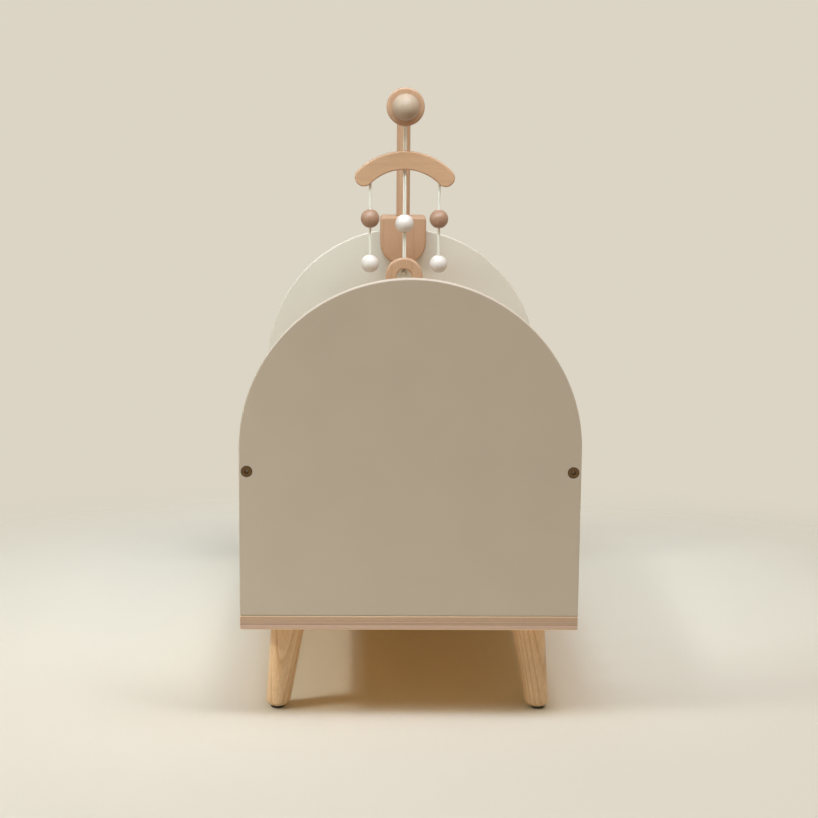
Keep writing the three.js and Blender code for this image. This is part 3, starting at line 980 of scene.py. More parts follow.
def copies(name: str, template: bpy.types.Mesh, places: Sequence[tuple[Vector, float]],
           finish: Finish) -> bpy.types.Mesh:
    """Set copies of one shape in their places.

    Args:
        name: The tree's name.
        template: The shape's mesh.
        places: Where each goes, and its turn about Z.
        finish: The finish that they get.

    Returns:
        One mesh of all of them.
    """
    seed = bpy.data.meshes.new("places")
    seed.from_pydata([tuple(place) for place, _ in places], [], [])
    turns = seed.attributes.new("turn", "FLOAT", "POINT")
    for i, (_, turn) in enumerate(places):
        turns.data[i].value = turn
    original = shown(f"{name}_template", template)
    tree = Pattern(name)
    chosen = tree.size("Shape", original, "Object")
    shape = tree.add("GeometryNodeObjectInfo", {"Object": chosen}).outputs["Geometry"]
    turn = tree.add("GeometryNodeInputNamedAttribute", {"Name": "turn"}, data_type="FLOAT").outputs[0]
    angle = tree.add("FunctionNodeEulerToRotation", {0: tree.join(0.0, 0.0, turn)}).outputs[0]
    inputs = {"Points": tree.source.outputs[0], "Instance": shape, "Rotation": angle}
    placed = tree.add("GeometryNodeInstanceOnPoints", inputs).outputs[0]
    mesh = tree.grow(placed, finish, seed)
    bpy.data.objects.remove(original)
    return mesh


# The cot


@dataclass
class Cot:
    """Board, end panels, side rails, spindles and their screws."""

    edge: float = 0.0011  # rounding of the panels' and the board's edges
    rail_edge: float = 0.003
    rail_end: float = 0.0003  # rounding of the rails' ends
    arch_steps: int = 128
    spindles: int = 7
    spindle_sides: int = 40
    spindle_bite: float = 0.001  # how far a spindle goes into the board and the rail
    screw_high: float = 0.2255  # height of the screws that hold the rails
    screw_head: float = 0.00475  # radius
    screw_play: float = 0.00035  # the ring of air round a screw head
    screw_seat: float = 0.003  # depth of the recess round it
    screw_sides: int = 48
    key: float = 0.002  # half the width of the screw's hexagon
    key_deep: float = 0.0029
    key_edge: float = 0.0002  # height of the bevels at the hexagon's mouth and floor
    key_mouth: float = 0.0026  # radius of its outer bevel
    # How much narrower the head is than its widest ring, and how deep, at each ring of its rim
    screw_rim: tuple[Point, ...] = ((0.0007, 0.0), (0.0002, 0.00025), (0.0, 0.0008), (0.0, 0.0012))
    screw_shank: tuple[Point, ...] = ((0.0035, 0.0034), (0.0035, 0.012))  # radius and depth
    screw_long: float = 0.05
    rail_thread: Thread = Thread(0.0025, 0.0021, 0.0125)
    # Radius and height of each ring of a panel screw's recess, and of its countersunk head
    panel_recess: tuple[Point, ...] = ((0.0, 0.0016), (0.0011, 0.0012), (0.0016, 0.0002))
    panel_head: tuple[Point, ...] = ((0.0034, 0.0), (0.0038, 0.0003), (0.00175, 0.0024))
    panel_screw_long: float = 0.042
    panel_thread: Thread = Thread(0.00175, 0.0014, 0.004)

    def build(self) -> None:
        """Make the whole cot."""
        self.board()
        for node in ("foot_panel", "head_panel"):
            self.panel(node)
        for side in ("left", "right"):
            self.rail(side)
            self.spindle_row(side)
        self.rail_screws()
        self.panel_screws()

    def across(self) -> float:
        """How far the middle of a rail is from the cot's middle."""
        low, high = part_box("side_rail_right")
        return (low.x + high.x) / 2

    def bar(self, node: str, edge: float, end: float, edge_steps: int, end_steps: int) -> Shape:
        """Shape a straight bar along Y.

        Args:
            node: The CAD bar.
            edge: Rounding of its long edges.
            end: Rounding of the rims at its ends.
            edge_steps: How many chords the long edges' rounding has.
            end_steps: How many chords the rims' rounding has.

        Returns:
            The bar.
        """
        low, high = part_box(node)
        corners = [(low.x, low.z), (high.x, low.z), (high.x, high.z), (low.x, high.z)]
        outline = eased([(x, z, edge) for x, z in corners], closed=True, steps=edge_steps)
        return plate(outline, low.y, high.y, (end, end), steps=end_steps)

    def board(self) -> None:
        """Make the ply board that everything stands on."""
        shape = self.bar("base_board", self.edge, self.edge, edge_steps=3, end_steps=4)
        Maker("board", BOARD_PLY, Body.COT, ["base_board"]).from_shape(shape)

    def panel(self, node: str) -> None:
        """Make an arched end panel with its screw recesses.

        Args:
            node: The CAD panel.
        """
        low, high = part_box(node)
        radius = (high.x - low.x) / 2
        spring = high.z - radius
        bottom = [(low.x, low.z), (high.x, low.z)]
        outline = bottom + arc((0, spring), radius, 0, 180, self.arch_steps)
        shape = plate(outline, low.y, high.y, (self.edge, self.edge))
        outer, inward = (low.y, HEADWARD) if low.y < 0 else (high.y, FOOTWARD)
        recess = self.screw_head + self.screw_play
        holes = [drill(recess, (x, outer, self.screw_high), inward, self.screw_seat)
                 for x in (-self.across(), self.across())]
        Maker(node.replace("_panel", "_end"), PANEL_PAINT, Body.COT, [node]).from_shape(shape, holes)

    def rail(self, side: str) -> None:
        """Make a side's top rail.

        Args:
            side: left or right.
        """
        node = f"side_rail_{side}"
        shape = self.bar(node, self.rail_edge, self.rail_end, edge_steps=6, end_steps=2)
        Maker(f"top_rail_{side}", PANEL_PAINT, Body.COT, [node]).from_shape(shape)

    def spindle_row(self, side: str) -> None:
        """Make a side's spindles.

        Args:
            side: left or right.
        """
        names = [f"spindle_{side}_{i + 1}" for i in range(self.spindles)]
        first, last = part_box(names[0]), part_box(names[-1])
        board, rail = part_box("base_board"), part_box(f"side_rail_{side}")
        low, high = board[1].z - self.spindle_bite, rail[0].z + self.spindle_bite
        middle = (first[0] + first[1]) / 2
        pitch = (last[0].y - first[0].y) / (self.spindles - 1)
        tree = Pattern(f"spindles_{side}")
        start = tree.size("First spindle", (middle.x, middle.y, (low + high) / 2), "Vector")
        count = tree.size("Spindles", self.spindles, "Int")
        offset = tree.join(0.0, tree.size("Pitch", pitch), 0.0)
        inputs = {"Count": count, "Start Location": start, "Offset": offset}
        line = tree.add("GeometryNodeMeshLine", inputs, mode="OFFSET").outputs[0]
        radius = tree.size("Radius", (first[1].x - first[0].x) / 2)
        length = tree.size("Length", high - low)
        inputs = {"Vertices": self.spindle_sides, "Radius": radius, "Depth": length}
        dowel = tree.add("GeometryNodeMeshCylinder", inputs).outputs[0]
        row = tree.add("GeometryNodeInstanceOnPoints", {"Points": line, "Instance": dowel}).outputs[0]
        mesh = tree.grow(row, SPINDLE_WOOD, bpy.data.meshes.new("nothing"))
        Maker(f"spindle_row_{side}", SPINDLE_WOOD, Body.COT, names).from_mesh(mesh)

    def rail_screws(self) -> None:
        """Make the four bronze screws with hexagon sockets that hold the rails."""
        sides = self.screw_sides
        rim = [(self.screw_head - less, depth) for less, depth in self.screw_rim]
        profile = [(self.key_mouth, 0), *rim, *self.screw_shank, *self.rail_thread.rings(),
                   (0, self.screw_long)]
        loops = [ring(0, self.key_deep + self.key_edge, sides)]
        loops += [ring(self.key, depth, sides, True) for depth in (self.key_deep, self.key_edge)]
        loops += [ring(radius, depth, sides) for radius, depth in profile]
        template = as_mesh("rail_screw", moved(skin(loops), (0, 0, 0), HEADWARD))
        ends = ((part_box("foot_panel")[0].y, 0.0), (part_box("head_panel")[1].y, math.pi))
        places = [(Vector((x, y, self.screw_high)), turn)
                  for x in (-self.across(), self.across()) for y, turn in ends]
        mesh = copies("rail_screws", template, places, BRONZE)
        names = [f"rail_screw_{i + 1}" for i in range(4)]
        Maker("rail_bolts", BRONZE, Body.COT, names).from_mesh(mesh)

    def panel_screws(self) -> None:
        """Make the countersunk screws that come up through the board into the panels."""
        profile = [*self.panel_recess, *self.panel_head, *self.panel_thread.rings(),
                   (0, self.panel_screw_long)]
        template = as_mesh("panel_screw", turned(profile, 32))
        names = [f"panel_screw_{end}_{i}" for end in ("foot", "head") for i in (1, 2)]
        places = []
        for name in names:
            low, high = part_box(name)
            places.append((Vector(((low.x + high.x) / 2, (low.y + high.y) / 2, low.z)), 0.0))
        mesh = copies("panel_screws", template, places, ZINC)
        Maker("panel_fixings", ZINC, Body.COT, names).from_mesh(mesh)


@dataclass
class Legs:
    """Four splayed turned legs with their glides and screws."""

    top_radius: float = 0.01575
    top_edge: float = 0.0006
    foot_radius: float = 0.0107
    foot_round: float = 0.0048
    inset: float = 0.0417  # from the board's edges to the middle of a leg's top
    splay: float = 0.0102  # how far the foot stands out from the top, each way
    glide_radius: float = 0.00625
    glide_high: float = 0.0025
    glide_edges: Point = (0.0012, 0.0004)  # rounding of its lower and its upper rim
    # Radius and height of each ring at a leg screw's two ends, from the top of the leg
    screw_tip: tuple[Point, ...] = ((0.0, -0.03), (0.0012, -0.029))
    screw_end: tuple[Point, ...] = ((0.0015, 0.0095), (0.0, 0.01))
    thread: Thread = Thread(0.003, 0.0025, -0.028, 19)

    def build(self) -> None:
        """Make each leg with its glide, then all the screws."""
        low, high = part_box("base_board")
        places = []
        for end, y, out_y in (("front", low.y + self.inset, -1), ("rear", high.y - self.inset, 1)):
            for side, x, out_x in (("left", low.x + self.inset, -1), ("right", high.x - self.inset, 1)):
                top = Vector((x, y, low.z))
                lean = Matrix.Identity(4)
                lean[0][2] = -out_x * self.splay / low.z
                lean[1][2] = -out_y * self.splay / low.z
                self.leg(f"{end}_{side}", top, lean)
                self.glide(f"{end}_{side}", top, lean)
                places.append(top)
        self.screws(places)

    def leg(self, corner: str, top: Vector, lean: Matrix) -> None:
        """Make one leg.

        Args:
            corner: Which corner it stands at.
            top: The middle of its top.
            lean: The shear that splays it.
        """
        foot = self.glide_high - top.z
        corners = [(0, foot, 0), (self.foot_radius, foot, self.foot_round),
                   (self.top_radius, 0, self.top_edge), (0, 0, 0)]
        shape = moved(turned(eased(corners, steps=6), 72), top, lean=lean)
        Maker(f"turned_leg_{corner}", LEG_WOOD, Body.COT, [f"leg_{corner}"]).from_shape(shape)

    def glide(self, corner: str, top: Vector, lean: Matrix) -> None:
        """Make the plastic glide under a leg.

        Args:
            corner: Which corner it stands at.
            top: The middle of the leg's top.
            lean: The shear that splays the leg.
        """
        floor = -top.z
        seat = floor + self.glide_high
        radius, edges = self.glide_radius, self.glide_edges
        corners = [(0, floor, 0), (radius, floor, edges[0]), (radius, seat, edges[1]), (0, seat, 0)]
        shape = moved(turned(eased(corners), 48), top, lean=lean)
        Maker(f"foot_glide_{corner}", BLACK, Body.COT, [f"glide_{corner}"]).from_shape(shape)

    def screws(self, tops: Sequence[Vector]) -> None:
        """Make the screws that join the legs to the board.

        Args:
            tops: The middle of each leg's top.
        """
        profile = [*self.screw_tip, *self.thread.rings(), *self.screw_end]
        template = as_mesh("leg_screw", turned(profile, 32))
        names = [f"leg_screw_{end}_{side}" for end in ("front", "rear") for side in ("left", "right")]
        mesh = copies("leg_screws", template, [(top, 0.0) for top in tops], ZINC)
        Maker("leg_fixings", ZINC, Body.COT, names).from_mesh(mesh)


@dataclass
class Stand:
    """The saddle over the headboard, with its post, arm, disc and ball."""

    corner: float = 0.004  # rounding of the saddle's upper corners
    round_high: float = 0.3812  # middle of the cheeks' round lower end
    outer_edge: float = 0.0026
    inner_edge: float = 0.0005
    core_edge: float = 0.0002
    arch_play: float = 0.0003  # between the headboard's arch and the block on it
    tenon: float = 0.0045  # radius
    post_edge: float = 0.0006  # rounding at the post's foot
    post_top: float = 0.0028  # rounding of its top
    arm_radius: float = 0.005
    arm_edge: float = 0.0008
    disc_edge: float = 0.0022
    disc_bore: float = 0.0051
    disc_bore_edge: float = 0.0002
    ball_flat: float = 0.011  # from the ball's middle to the flat that meets the disc
    ball_bore: float = 0.0053
    ball_bore_end: float = -0.0023  # from the ball's middle, away from the flat

    def build(self) -> None:
        """Make the whole stand."""
        self.cheek("saddle_front", (self.outer_edge, self.inner_edge))
        self.core()
        self.cheek("saddle_rear", (self.inner_edge, self.outer_edge))
        self.post()
        self.arm()
        self.disc()
        self.ball()

    def shoulders(self, half: float, top: float) -> list[Point]:
        """Round the two upper corners of the saddle.

        Args:
            half: Half its width.
            top: The height of its top.

        Returns:
            The points from the right corner to the left one.
        """
        x, z = half - self.corner, top - self.corner
        return arc((x, z), self.corner, 0, 90, 8) + arc((-x, z), self.corner, 90, 180, 8)

    def cheek(self, node: str, eases: Point) -> None:
        """Make one cheek of the saddle.

        Args:
            node: The CAD cheek.
            eases: Rounding of its front and back rims.
        """
        low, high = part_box(node)
        outline = arc((0, self.round_high), high.x, 180, 360, 48) + self.shoulders(high.x, high.z)
        shape = plate(outline, low.y, high.y, eases, steps=5)
        Maker(node.replace("saddle", "cheek"), BEECH_UPRIGHT, Body.STAND, [node]).from_shape(shape)

    def core(self) -> None:
        """Make the block between the cheeks, which rests on the headboard's arch."""
        low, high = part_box("saddle_core")
        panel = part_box("head_panel")
        radius = panel[1].x + self.arch_play
        spring = panel[1].z - panel[1].x
        side = math.degrees(math.acos(high.x / radius))
        outline = arc((0, spring), radius, 180 - side, side, 16) + self.shoulders(high.x, high.z)
        shape = plate(outline, low.y, high.y, (self.core_edge, self.core_edge), steps=2)
        Maker("saddle_block", BEECH_UPRIGHT, Body.STAND, ["saddle_core"]).from_shape(shape)

    def post(self) -> None:
        """Make the upright post with its tenon."""
        low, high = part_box("mobile_post")
        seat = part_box("saddle_core")[1].z
        radius = high.x
        corners = [(0, low.z, 0), (self.tenon, low.z, self.post_edge), (self.tenon, seat, 0),
                   (radius, seat, self.post_edge), (radius, high.z, self.post_top), (0, high.z, 0)]
        shape = moved(turned(eased(corners, steps=6), 64), (0, (low.y + high.y) / 2, 0))
        Maker("post", BEECH_UPRIGHT, Body.STAND, ["mobile_post"]).from_shape(shape)

    def arm(self) -> None:
        """Make the arm that runs from the post into the ball."""
        low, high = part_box("mobile_arm")
        radius, length, edge = self.arm_radius, high.y - low.y, self.arm_edge
        corners = [(0, 0, 0), (radius, 0, edge), (radius, length, edge), (0, length, 0)]
        shape = moved(turned(eased(corners), 48), (0, low.y, (low.z + high.z) / 2), HEADWARD)
        Maker("arm", BEECH_ARM, Body.STAND, ["mobile_arm"]).from_shape(shape)

    def disc(self) -> None:
        """Make the disc behind the ball."""
        low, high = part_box("arm_disc")
        radius, thick, edge = high.x, high.y - low.y, self.disc_edge
        hole, hole_edge = self.disc_bore, self.disc_bore_edge
        corners = [(hole, 0, hole_edge), (radius, 0, edge), (radius, thick, edge),
                   (hole, thick, hole_edge)]
        shape = turned(eased(corners, closed=True, steps=6), 96, closed=True)
        moved(shape, (0, low.y, (low.z + high.z) / 2), HEADWARD)
        Maker("disc", BEECH_DISC, Body.STAND, ["arm_disc"]).from_shape(shape)

    def ball(self) -> None:
        """Make the ball on the arm's end."""
        low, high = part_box("arm_ball")
        radius = (high.z - low.z) / 2
        start = math.degrees(math.asin(self.ball_flat / radius))
        profile = arc((0, 0), radius, -90, start, 40)
        profile[0] = (0, -radius)
        profile += [(self.ball_bore, self.ball_flat), (self.ball_bore, self.ball_bore_end),
                    (0, self.ball_bore_end)]
        place = (0, high.y - self.ball_flat, (low.z + high.z) / 2)
        shape = moved(turned(profile, 72), place, HEADWARD)
        Maker("end_ball", BALL_WOOD, Body.STAND, ["arm_ball"]).from_shape(shape)


# The mobile


@dataclass(frozen=True)
class Bead:
    """A bead on a cord, with a bore and a wider seat under it for a knot."""

    name: str
    node: str
    body: Body
    finish: Finish
    bore: float
    seat: float
    seat_deep: float = 0.0046
    lip: float = 0.0004  # rounding of the bore's mouths

    def build(self) -> bpy.types.Object:
        """Turn the bead.

        Returns:
            The bead.
        """
        low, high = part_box(self.node)
        radius = (high.x - low.x) / 2
        middle = Vector(((low.x + high.x) / 2, (low.y + high.y) / 2, low.z))
        drop = math.sqrt(radius**2 - self.seat**2)
        mouth = math.degrees(math.asin((self.bore + self.lip) / radius))
        foot = math.degrees(math.asin((self.seat + self.lip) / radius))
        profile = arc((0, drop), radius, foot - 90, 90 - mouth, 36)
        top = drop + math.sqrt(radius**2 - self.bore**2) - self.lip
        profile += [(self.bore, top), (self.bore, self.seat_deep), (self.seat, self.seat_deep),
                    (self.seat, self.lip)]
        shape = moved(turned(profile, 64, closed=True), middle)
        return Maker(self.name, self.finish, self.body, [self.node]).from_shape(shape)


@dataclass(frozen=True)
class Mobile:
    """Cords, knots, hanger, beads and rainbow."""

    yarn: Yarn = Yarn()
    side_yarn: Yarn = Yarn(0.0015, pitch=0.0105)
    cord_y: float = 0.139
    drop_x: float = 0.0365
    hanger_band: float = 0.0194  # height of the hanger's arched band
    hanger_radius: float = 0.061  # of the band's middle line
    hanger_edge: float = 0.0016
    line_bore: float = 0.0025
    line_recess: float = 0.0039
    line_recess_top: float = 0.4714
    side_bore: float = 0.002
    side_recess: float = 0.0035
    side_recess_low: float = 0.4687
    single_bead: Point = (0.0019, 0.0032)  # radii of bore and seat on one strand of cord
    double_bead: Point = (0.0026, 0.004)  # the same on two
    rainbow_inner: float = 0.0077  # radius of its opening
    rainbow_edge: float = 0.002
    rainbow_bore: float = 0.0026
    yarn_crease: float = 60.0  # degrees past which an edge on a cord stays sharp
    # Up one strand, over the arm and down the other: x and height of each point
    line_route: tuple[Point, ...] = (
        (-0.00115, 0.4689),
        (-0.00115, 0.4790),
        (-0.00115, 0.4890),
        (-0.00115, 0.4990),
        (-0.00115, 0.5080),
        (-0.00115, 0.5150),
        (-0.00115, 0.5200),
        (-0.0017, 0.5227),
        (-0.0038, 0.5255),
        (-0.0058, 0.5283),
        (-0.0065, 0.5315),
        (-0.00563, 0.53475),
        (-0.00325, 0.53713),
        (0.0, 0.5380),
        (0.00325, 0.53713),
        (0.00563, 0.53475),
        (0.0065, 0.5315),
        (0.0058, 0.5283),
        (0.0038, 0.5255),
        (0.0017, 0.5227),
        (0.00115, 0.5200),
        (0.00115, 0.5150),
        (0.00115, 0.5080),
        (0.00115, 0.4990),
        (0.00115, 0.4890),
        (0.00115, 0.4790),
        (0.00115, 0.4689),
    )
    # Heights along the cords that hang straight
    side_route: tuple[float, ...] = (0.3587, 0.3700, 0.3900, 0.4100, 0.4300, 0.4489)
    tucked_route: tuple[float, ...] = (0.4488, 0.4600, 0.4739)  # a side cord's end in the hanger
    centre_route: tuple[float, ...] = (0.3566, 0.3700, 0.3900, 0.4100, 0.4300, 0.4500, 0.4651)
    pair_x: float = 0.00095  # half the spacing of the middle drop's two strands
    # The tails of the rainbow's knot: where each ends up, and share of that and height on the way
    tails_x: Point = (-0.0011, 0.0021)
    tail_route: tuple[Point, ...] = ((0.3, 0.3557), (1.0, 0.3524), (1.35, 0.3485))
    # Height and outer radius of each knot
    arm_knot: Point = (0.5162, 0.0037)
    hanger_knot: Point = (0.4689, 0.0033)
    side_top_knot: Point = (0.4719, 0.0028)
    side_bead_knot: Point = (0.4073, 0.0028)
    side_end_knot: Point = (0.3587, 0.0026)
    middle_bead_knot: Point = (0.4029, 0.0037)
    rainbow_knot: Point = (0.3566, 0.0032)

    def cords(self) -> None:
        """Make every cord with its knots."""
        self.line()
        for side, sign, body in (("left", -1, Body.LEFT_DROP), ("right", 1, Body.RIGHT_DROP)):
            self.side_cord(side, sign * self.drop_x, body)
        self.centre_cord()

    def build(self) -> None:
        """Make what hangs on the cords."""
        self.hanger()
        one, two = self.single_bead, self.double_bead
        for side, brown, white in (("left", Body.LEFT_BROWN, Body.LEFT_WHITE),
                                   ("right", Body.RIGHT_BROWN, Body.RIGHT_WHITE)):
            Bead(f"{side}_upper_bead", f"{side}_brown_bead", brown, BROWN_PAINT, *one).build()
            Bead(f"{side}_lower_bead", f"{side}_white_bead", white, WHITE_PAINT, *one).build()
        Bead("middle_bead", "centre_bead", Body.CENTRE_BEAD, WHITE_PAINT, *two).build()
        self.rainbow()

    def at(self, x: float, height: float) -> Vector:
        """A point in the mobile's plane."""
        return Vector((x, self.cord_y, height))

    def finished(self, name: str, body: Body, mesh: bpy.types.Mesh,
                 stands_for: Sequence[str] = ()) -> bpy.types.Object:
        """Finish a piece of yarn.

        Args:
            name: The piece's name.
            body: What it moves with.
            mesh: Its mesh.
            stands_for: The CAD nodes that it replaces.

        Returns:
            The piece.
        """
        return Maker(name, COTTON, body, stands_for, self.yarn_crease).from_mesh(mesh)

    def tie(self, name: str, body: Body, x: float, height: float, reach: float) -> bpy.types.Object:
        """Tie a knot of its own.

        Args:
            name: The knot's name.
            body: What it moves with.
            x: Where it is across the mobile.
            height: Where its middle is.
            reach: Its outer radius.

        Returns:
            The knot.
        """
        return self.finished(name, body, self.yarn.knot(name, self.at(x, height), reach))

    def smooth(self, route: Sequence[Vector], steps: int = 6) -> list[Vector]:
        """Draw a flowing line through points.

        Args:
            route: The points.
            steps: How many chords lie between two of them.

        Returns:
            The line's points.
        """
        ends = [2 * route[0] - route[1], *route, 2 * route[-1] - route[-2]]
        line = []
        for a, b, c, d in zip(ends, ends[1:], ends[2:], ends[3:]):
            for i in range(steps):
                t = i / steps
                line.append(0.5 * (2 * b + (c - a) * t + (2 * a - 5 * b + 4 * c - d) * t**2
                                   + (3 * b - a - 3 * c + d) * t**3))
        return [*line, route[-1]]

    def line(self) -> None:
        """Make the doubled cord over the arm."""
        route = self.smooth([self.at(x, z) for x, z in self.line_route])
        mesh = self.yarn.twisted("line_yarn", [route])
        cord = self.finished("hanging_line", Body.LINE, mesh, ["hanger_line"])
        knots = [self.tie("arm_knot", Body.LINE, 0, *self.arm_knot),
                 self.tie("hanger_knot", Body.LINE, 0, *self.hanger_knot)]

    def side_cord(self, side: str, x: float, body: Body) -> None:
        """Make a side drop's cord, its knots and the end that is tied in the hanger.

        Args:
            side: left or right.
            x: Where it hangs.
            body: The drop that it is.
        """
        route = [self.at(x, height) for height in self.side_route]
        mesh = self.side_yarn.twisted(f"{side}_yarn", [route])
        cord = self.finished(f"{side}_drop_cord", body, mesh, [f"{side}_cord"])
        knots = [self.tie(f"{side}_end_knot", body, x, *self.side_end_knot),
                 self.tie(f"{side}_bead_knot", body, x, *self.side_bead_knot)]
        tucked = [self.at(x, height) for height in self.tucked_route]
        stub = self.side_yarn.twisted(f"{side}_stub_yarn", [tucked])
        self.finished(f"{side}_tied_end", Body.HANGER, stub, [f"{side}_upper_knot"])
        self.tie(f"{side}_top_knot", Body.HANGER, x, *self.side_top_knot)

    def centre_cord(self) -> None:
        """Make the doubled cord of the middle drop."""
        route = [self.at(0, height) for height in self.centre_route]
        aside = Vector((self.pair_x, 0, 0))
        strands = [[point + aside * sign for point in route] for sign in (-1, 1)]
        mesh = self.yarn.twisted("middle_yarn", strands)
        cord = self.finished("middle_drop_cord", Body.CENTRE_DROP, mesh, ["centre_cord"])
        knots = [self.tie("middle_bead_knot", Body.CENTRE_DROP, 0, *self.middle_bead_knot),
                 self.tie("rainbow_knot", Body.CENTRE_DROP, 0, *self.rainbow_knot)]
        tails = [[self.at(x * share, height) for share, height in self.tail_route]
                 for x in self.tails_x]
        ends = self.yarn.twisted("tail_yarn", [self.smooth(tail) for tail in tails])
        knots.append(self.finished("knot_tails", Body.CENTRE_DROP, ends))

    def hanger(self) -> None:
        """Make the arched hanger with its cord holes."""
        low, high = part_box("hanger")
        half, radius = self.hanger_band / 2, self.hanger_radius
        centre = high.z - radius - half
        end_x, end_z = radius * math.sin(math.pi / 4), centre + radius * math.cos(math.pi / 4)
        outline = arc((0, centre), radius + half, 45, 135, 48)
        outline += arc((-end_x, end_z), half, 135, 315, 20)[1:-1]
        outline += arc((0, centre), radius - half, 135, 45, 40)
        outline += arc((end_x, end_z), half, 225, 405, 20)[1:-1]
        shape = plate(outline, low.y, high.y, (self.hanger_edge, self.hanger_edge))
        tall = high.z - centre
        holes = [drill(self.line_bore, self.at(0, centre), UP, tall + OVERCUT),
                 drill(self.line_recess, self.at(0, centre), UP, self.line_recess_top - centre)]
        for x in (-self.drop_x, self.drop_x):
            holes.append(drill(self.side_bore, self.at(x, centre), UP, tall))
            depth = high.z - self.side_recess_low
            holes.append(drill(self.side_recess, self.at(x, high.z), DOWN, depth))
        Maker("arched_hanger", BEECH_ACROSS, Body.HANGER, ["hanger"]).from_shape(shape, holes)

    def rainbow(self) -> None:
        """Make the small rainbow."""
        low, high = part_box("rainbow")
        radius, inner = high.x, self.rainbow_inner
        centre = high.z - radius
        outline = [(radius, low.z), *arc((0, centre), radius, 0, 180, 40), (-radius, low.z),
                   (-inner, low.z), *arc((0, centre), inner, 180, 0, 28), (inner, low.z)]
        shape = plate(outline, low.y, high.y, (self.rainbow_edge, self.rainbow_edge))
        hole = drill(self.rainbow_bore, self.at(0, centre), UP, radius + OVERCUT)
        Maker("small_rainbow", BEECH_UPRIGHT, Body.RAINBOW, ["rainbow"]).from_shape(shape, [hole])


# Camera and light


@dataclass(frozen=True)
class Viewpoint:
    """The camera, solved on both end panels of the photograph."""

    place: Place = (-0.0354, -1.8732, 0.5813)
    yaw: float = 1.194  # degrees towards +X
    pitch: float = 10.493  # degrees down
    roll: float = 0.509
    focal_px: float = 1893.5
    photo_px: float = 818.0  # the photograph's width
    sensor: float = 36.0  # millimetres

    def build(self) -> None:
        """Make the camera."""
        data = bpy.data.cameras.new("view")
        data.sensor_width = self.sensor
        data.lens = self.focal_px / self.photo_px * self.sensor
        camera = bpy.data.objects.new("view", data)
        yaw, pitch, roll = (math.radians(a) for a in (self.yaw, self.pitch, self.roll))
        level_share = math.cos(pitch)
        ahead = Vector((math.sin(yaw) * level_share, math.cos(yaw) * level_share, -math.sin(pitch)))
        level = Vector((math.cos(yaw), -math.sin(yaw), 0))
        above = level.cross(ahead)
        right = level * math.cos(roll) + above * math.sin(roll)
        up = above * math.cos(roll) - level * math.sin(roll)
        turn = Matrix((right, up, -ahead)).transposed().to_4x4()
        camera.matrix_world = Matrix.Translation(self.place) @ turn
        bpy.context.scene.collection.objects.link(camera)
        bpy.context.scene.camera = camera


@dataclass(frozen=True)
class Lamp:
    """A soft box aimed at a point, its length along the cot's. The camera doesn't see it."""

    name: str
    place: Place
    aim: Place
    wide: float
    long: float
    power: float
    colour: Colour
    beam: float = 180.0  # degrees; a grid in front of the box narrows it

    def build(self) -> None:
        """Hang the lamp."""
        data = bpy.data.lights.new(self.name, "AREA")
        data.shape = "RECTANGLE"
        data.size = self.wide
        data.size_y = self.long
        data.energy = self.power
        data.spread = math.radians(self.beam)
        data.color = self.colour
        lamp = bpy.data.objects.new(self.name, data)
        back = (Vector(self.place) - Vector(self.aim)).normalized()
        length = (Vector(HEADWARD) - back * back.y).normalized()
        turn = Matrix((length.cross(back), length, back)).transposed().to_4x4()
        lamp.matrix_world = Matrix.Translation(self.place) @ turn
        lamp.visible_camera = False
        bpy.context.scene.collection.objects.link(lamp)


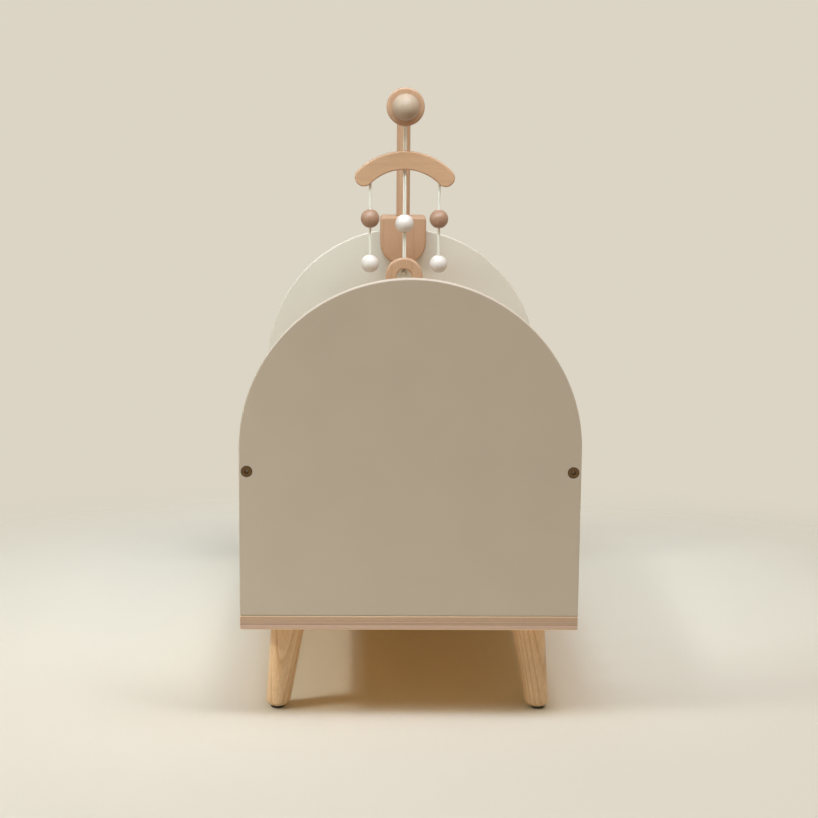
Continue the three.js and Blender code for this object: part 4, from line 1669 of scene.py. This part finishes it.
@dataclass(frozen=True)
class Studio:
    """A pale floor that fades into a pale backdrop, under soft boxes and a strip light."""

    backdrop: Colour = tone(220, 213, 197)
    floor: Colour = tone(214, 212, 202)
    half: float = 2.5  # of the floor's width
    middle: Place = (0.0, -0.45, 0.0)  # of the part of the floor that is seen
    near: float = 0.8  # distance from it at which the floor starts to fade
    far: float = 1.2  # distance at which it is gone
    ambient: float = 0.345
    ambient_colour: Colour = (1.0, 0.76, 0.45)
    lamps: tuple[Lamp, ...] = (
        Lamp("over_foot", (-0.15, -0.55, 2.8), (-0.15, -0.55, 0), 2.5, 0.78, 37.5, (0.715, 0.8, 1.0)),
        Lamp("over_bed", (-0.09, -0.2, 0.95), (0.0, 0.24, 0.35), 0.5, 0.1, 0.95, (0.64, 0.91, 1.0), 84.0),
        Lamp("left_box", (-1.24, -0.52, 1.0), (0.3, 0.1, 0), 0.22, 0.4, 7.2, (0.96, 1.0, 0.95)),
        Lamp("left_strip", (-1.24, -0.52, 1.0), (-0.11, -0.1, 0), 0.04, 0.4, 0.13, (1.0, 0.94, 0.76), 24.0),
        Lamp("over_back", (-0.5, 0.5, 1.6), (-0.5, 0.5, 0), 1.5, 0.6, 2.5, (0.96, 0.93, 1.0)),
        Lamp("right_box", (0.62, -0.4, 1.6), (0.1, -0.2, 0), 0.6, 0.6, 9.2, (1.0, 0.94, 0.86)),
    )

    def build(self) -> None:
        """Make the floor, the world and the lamps."""
        self.ground()
        self.world()
        for lamp in self.lamps:
            lamp.build()

    def ground(self) -> None:
        """Make the floor."""
        corners = [(x * self.half, y * self.half, 0) for x, y in ((-1, -1), (1, -1), (1, 1), (-1, 1))]
        mesh = bpy.data.meshes.new("floor")
        mesh.from_pydata(corners, [], [(0, 1, 2, 3)])
        floor = shown("floor", mesh)
        material = bpy.data.materials.new("floor_paper")
        graph = blank(material)
        inputs = {0: graph.add("ShaderNodeTexCoord").outputs["Object"], 1: self.middle}
        reach = graph.add("ShaderNodeVectorMath", inputs, operation="DISTANCE").outputs["Value"]
        inputs = {"Value": reach, "From Min": self.near, "From Max": self.far}
        fade = graph.add("ShaderNodeMapRange", inputs, interpolation_type="SMOOTHSTEP").outputs[0]
        paper = graph.add("ShaderNodeBsdfDiffuse", {"Color": (*self.floor, 1.0)}).outputs[0]
        clear = graph.add("ShaderNodeBsdfTransparent").outputs[0]
        blend = graph.add("ShaderNodeMixShader", {0: fade, 1: paper, 2: clear}).outputs[0]
        graph.add("ShaderNodeOutputMaterial", {"Surface": blend})
        mesh.materials.append(material)

    def world(self) -> None:
        """Light the scene evenly, and show the backdrop's colour behind it."""
        world = bpy.data.worlds.new("studio")
        graph = blank(world)
        path = graph.add("ShaderNodeLightPath").outputs
        seen = graph.math("MAXIMUM", path["Is Camera Ray"], path["Is Glossy Ray"])
        seen = graph.math("MAXIMUM", seen, path["Is Transmission Ray"])
        inputs = {"Color": (*self.ambient_colour, 1.0), "Strength": self.ambient}
        light = graph.add("ShaderNodeBackground", inputs).outputs[0]
        inputs = {"Color": (*self.backdrop, 1.0), "Strength": 1.0}
        paper = graph.add("ShaderNodeBackground", inputs).outputs[0]
        mixed = graph.add("ShaderNodeMixShader", {0: seen, 1: light, 2: paper}).outputs[0]
        graph.add("ShaderNodeOutputWorld", {0: mixed})
        bpy.context.scene.world = world


def main() -> None:
    """Dress the frame and light it."""
    logging.basicConfig(level=logging.INFO, format="%(message)s")
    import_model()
    Viewpoint().build()
    mobile = Mobile()
    mobile.cords()
    mobile.build()
    Stand().build()
    Cot().build()
    Legs().build()
    Studio().build()
    bpy.context.scene.view_settings.view_transform = "Standard"


if __name__ == "__main__":
    main()
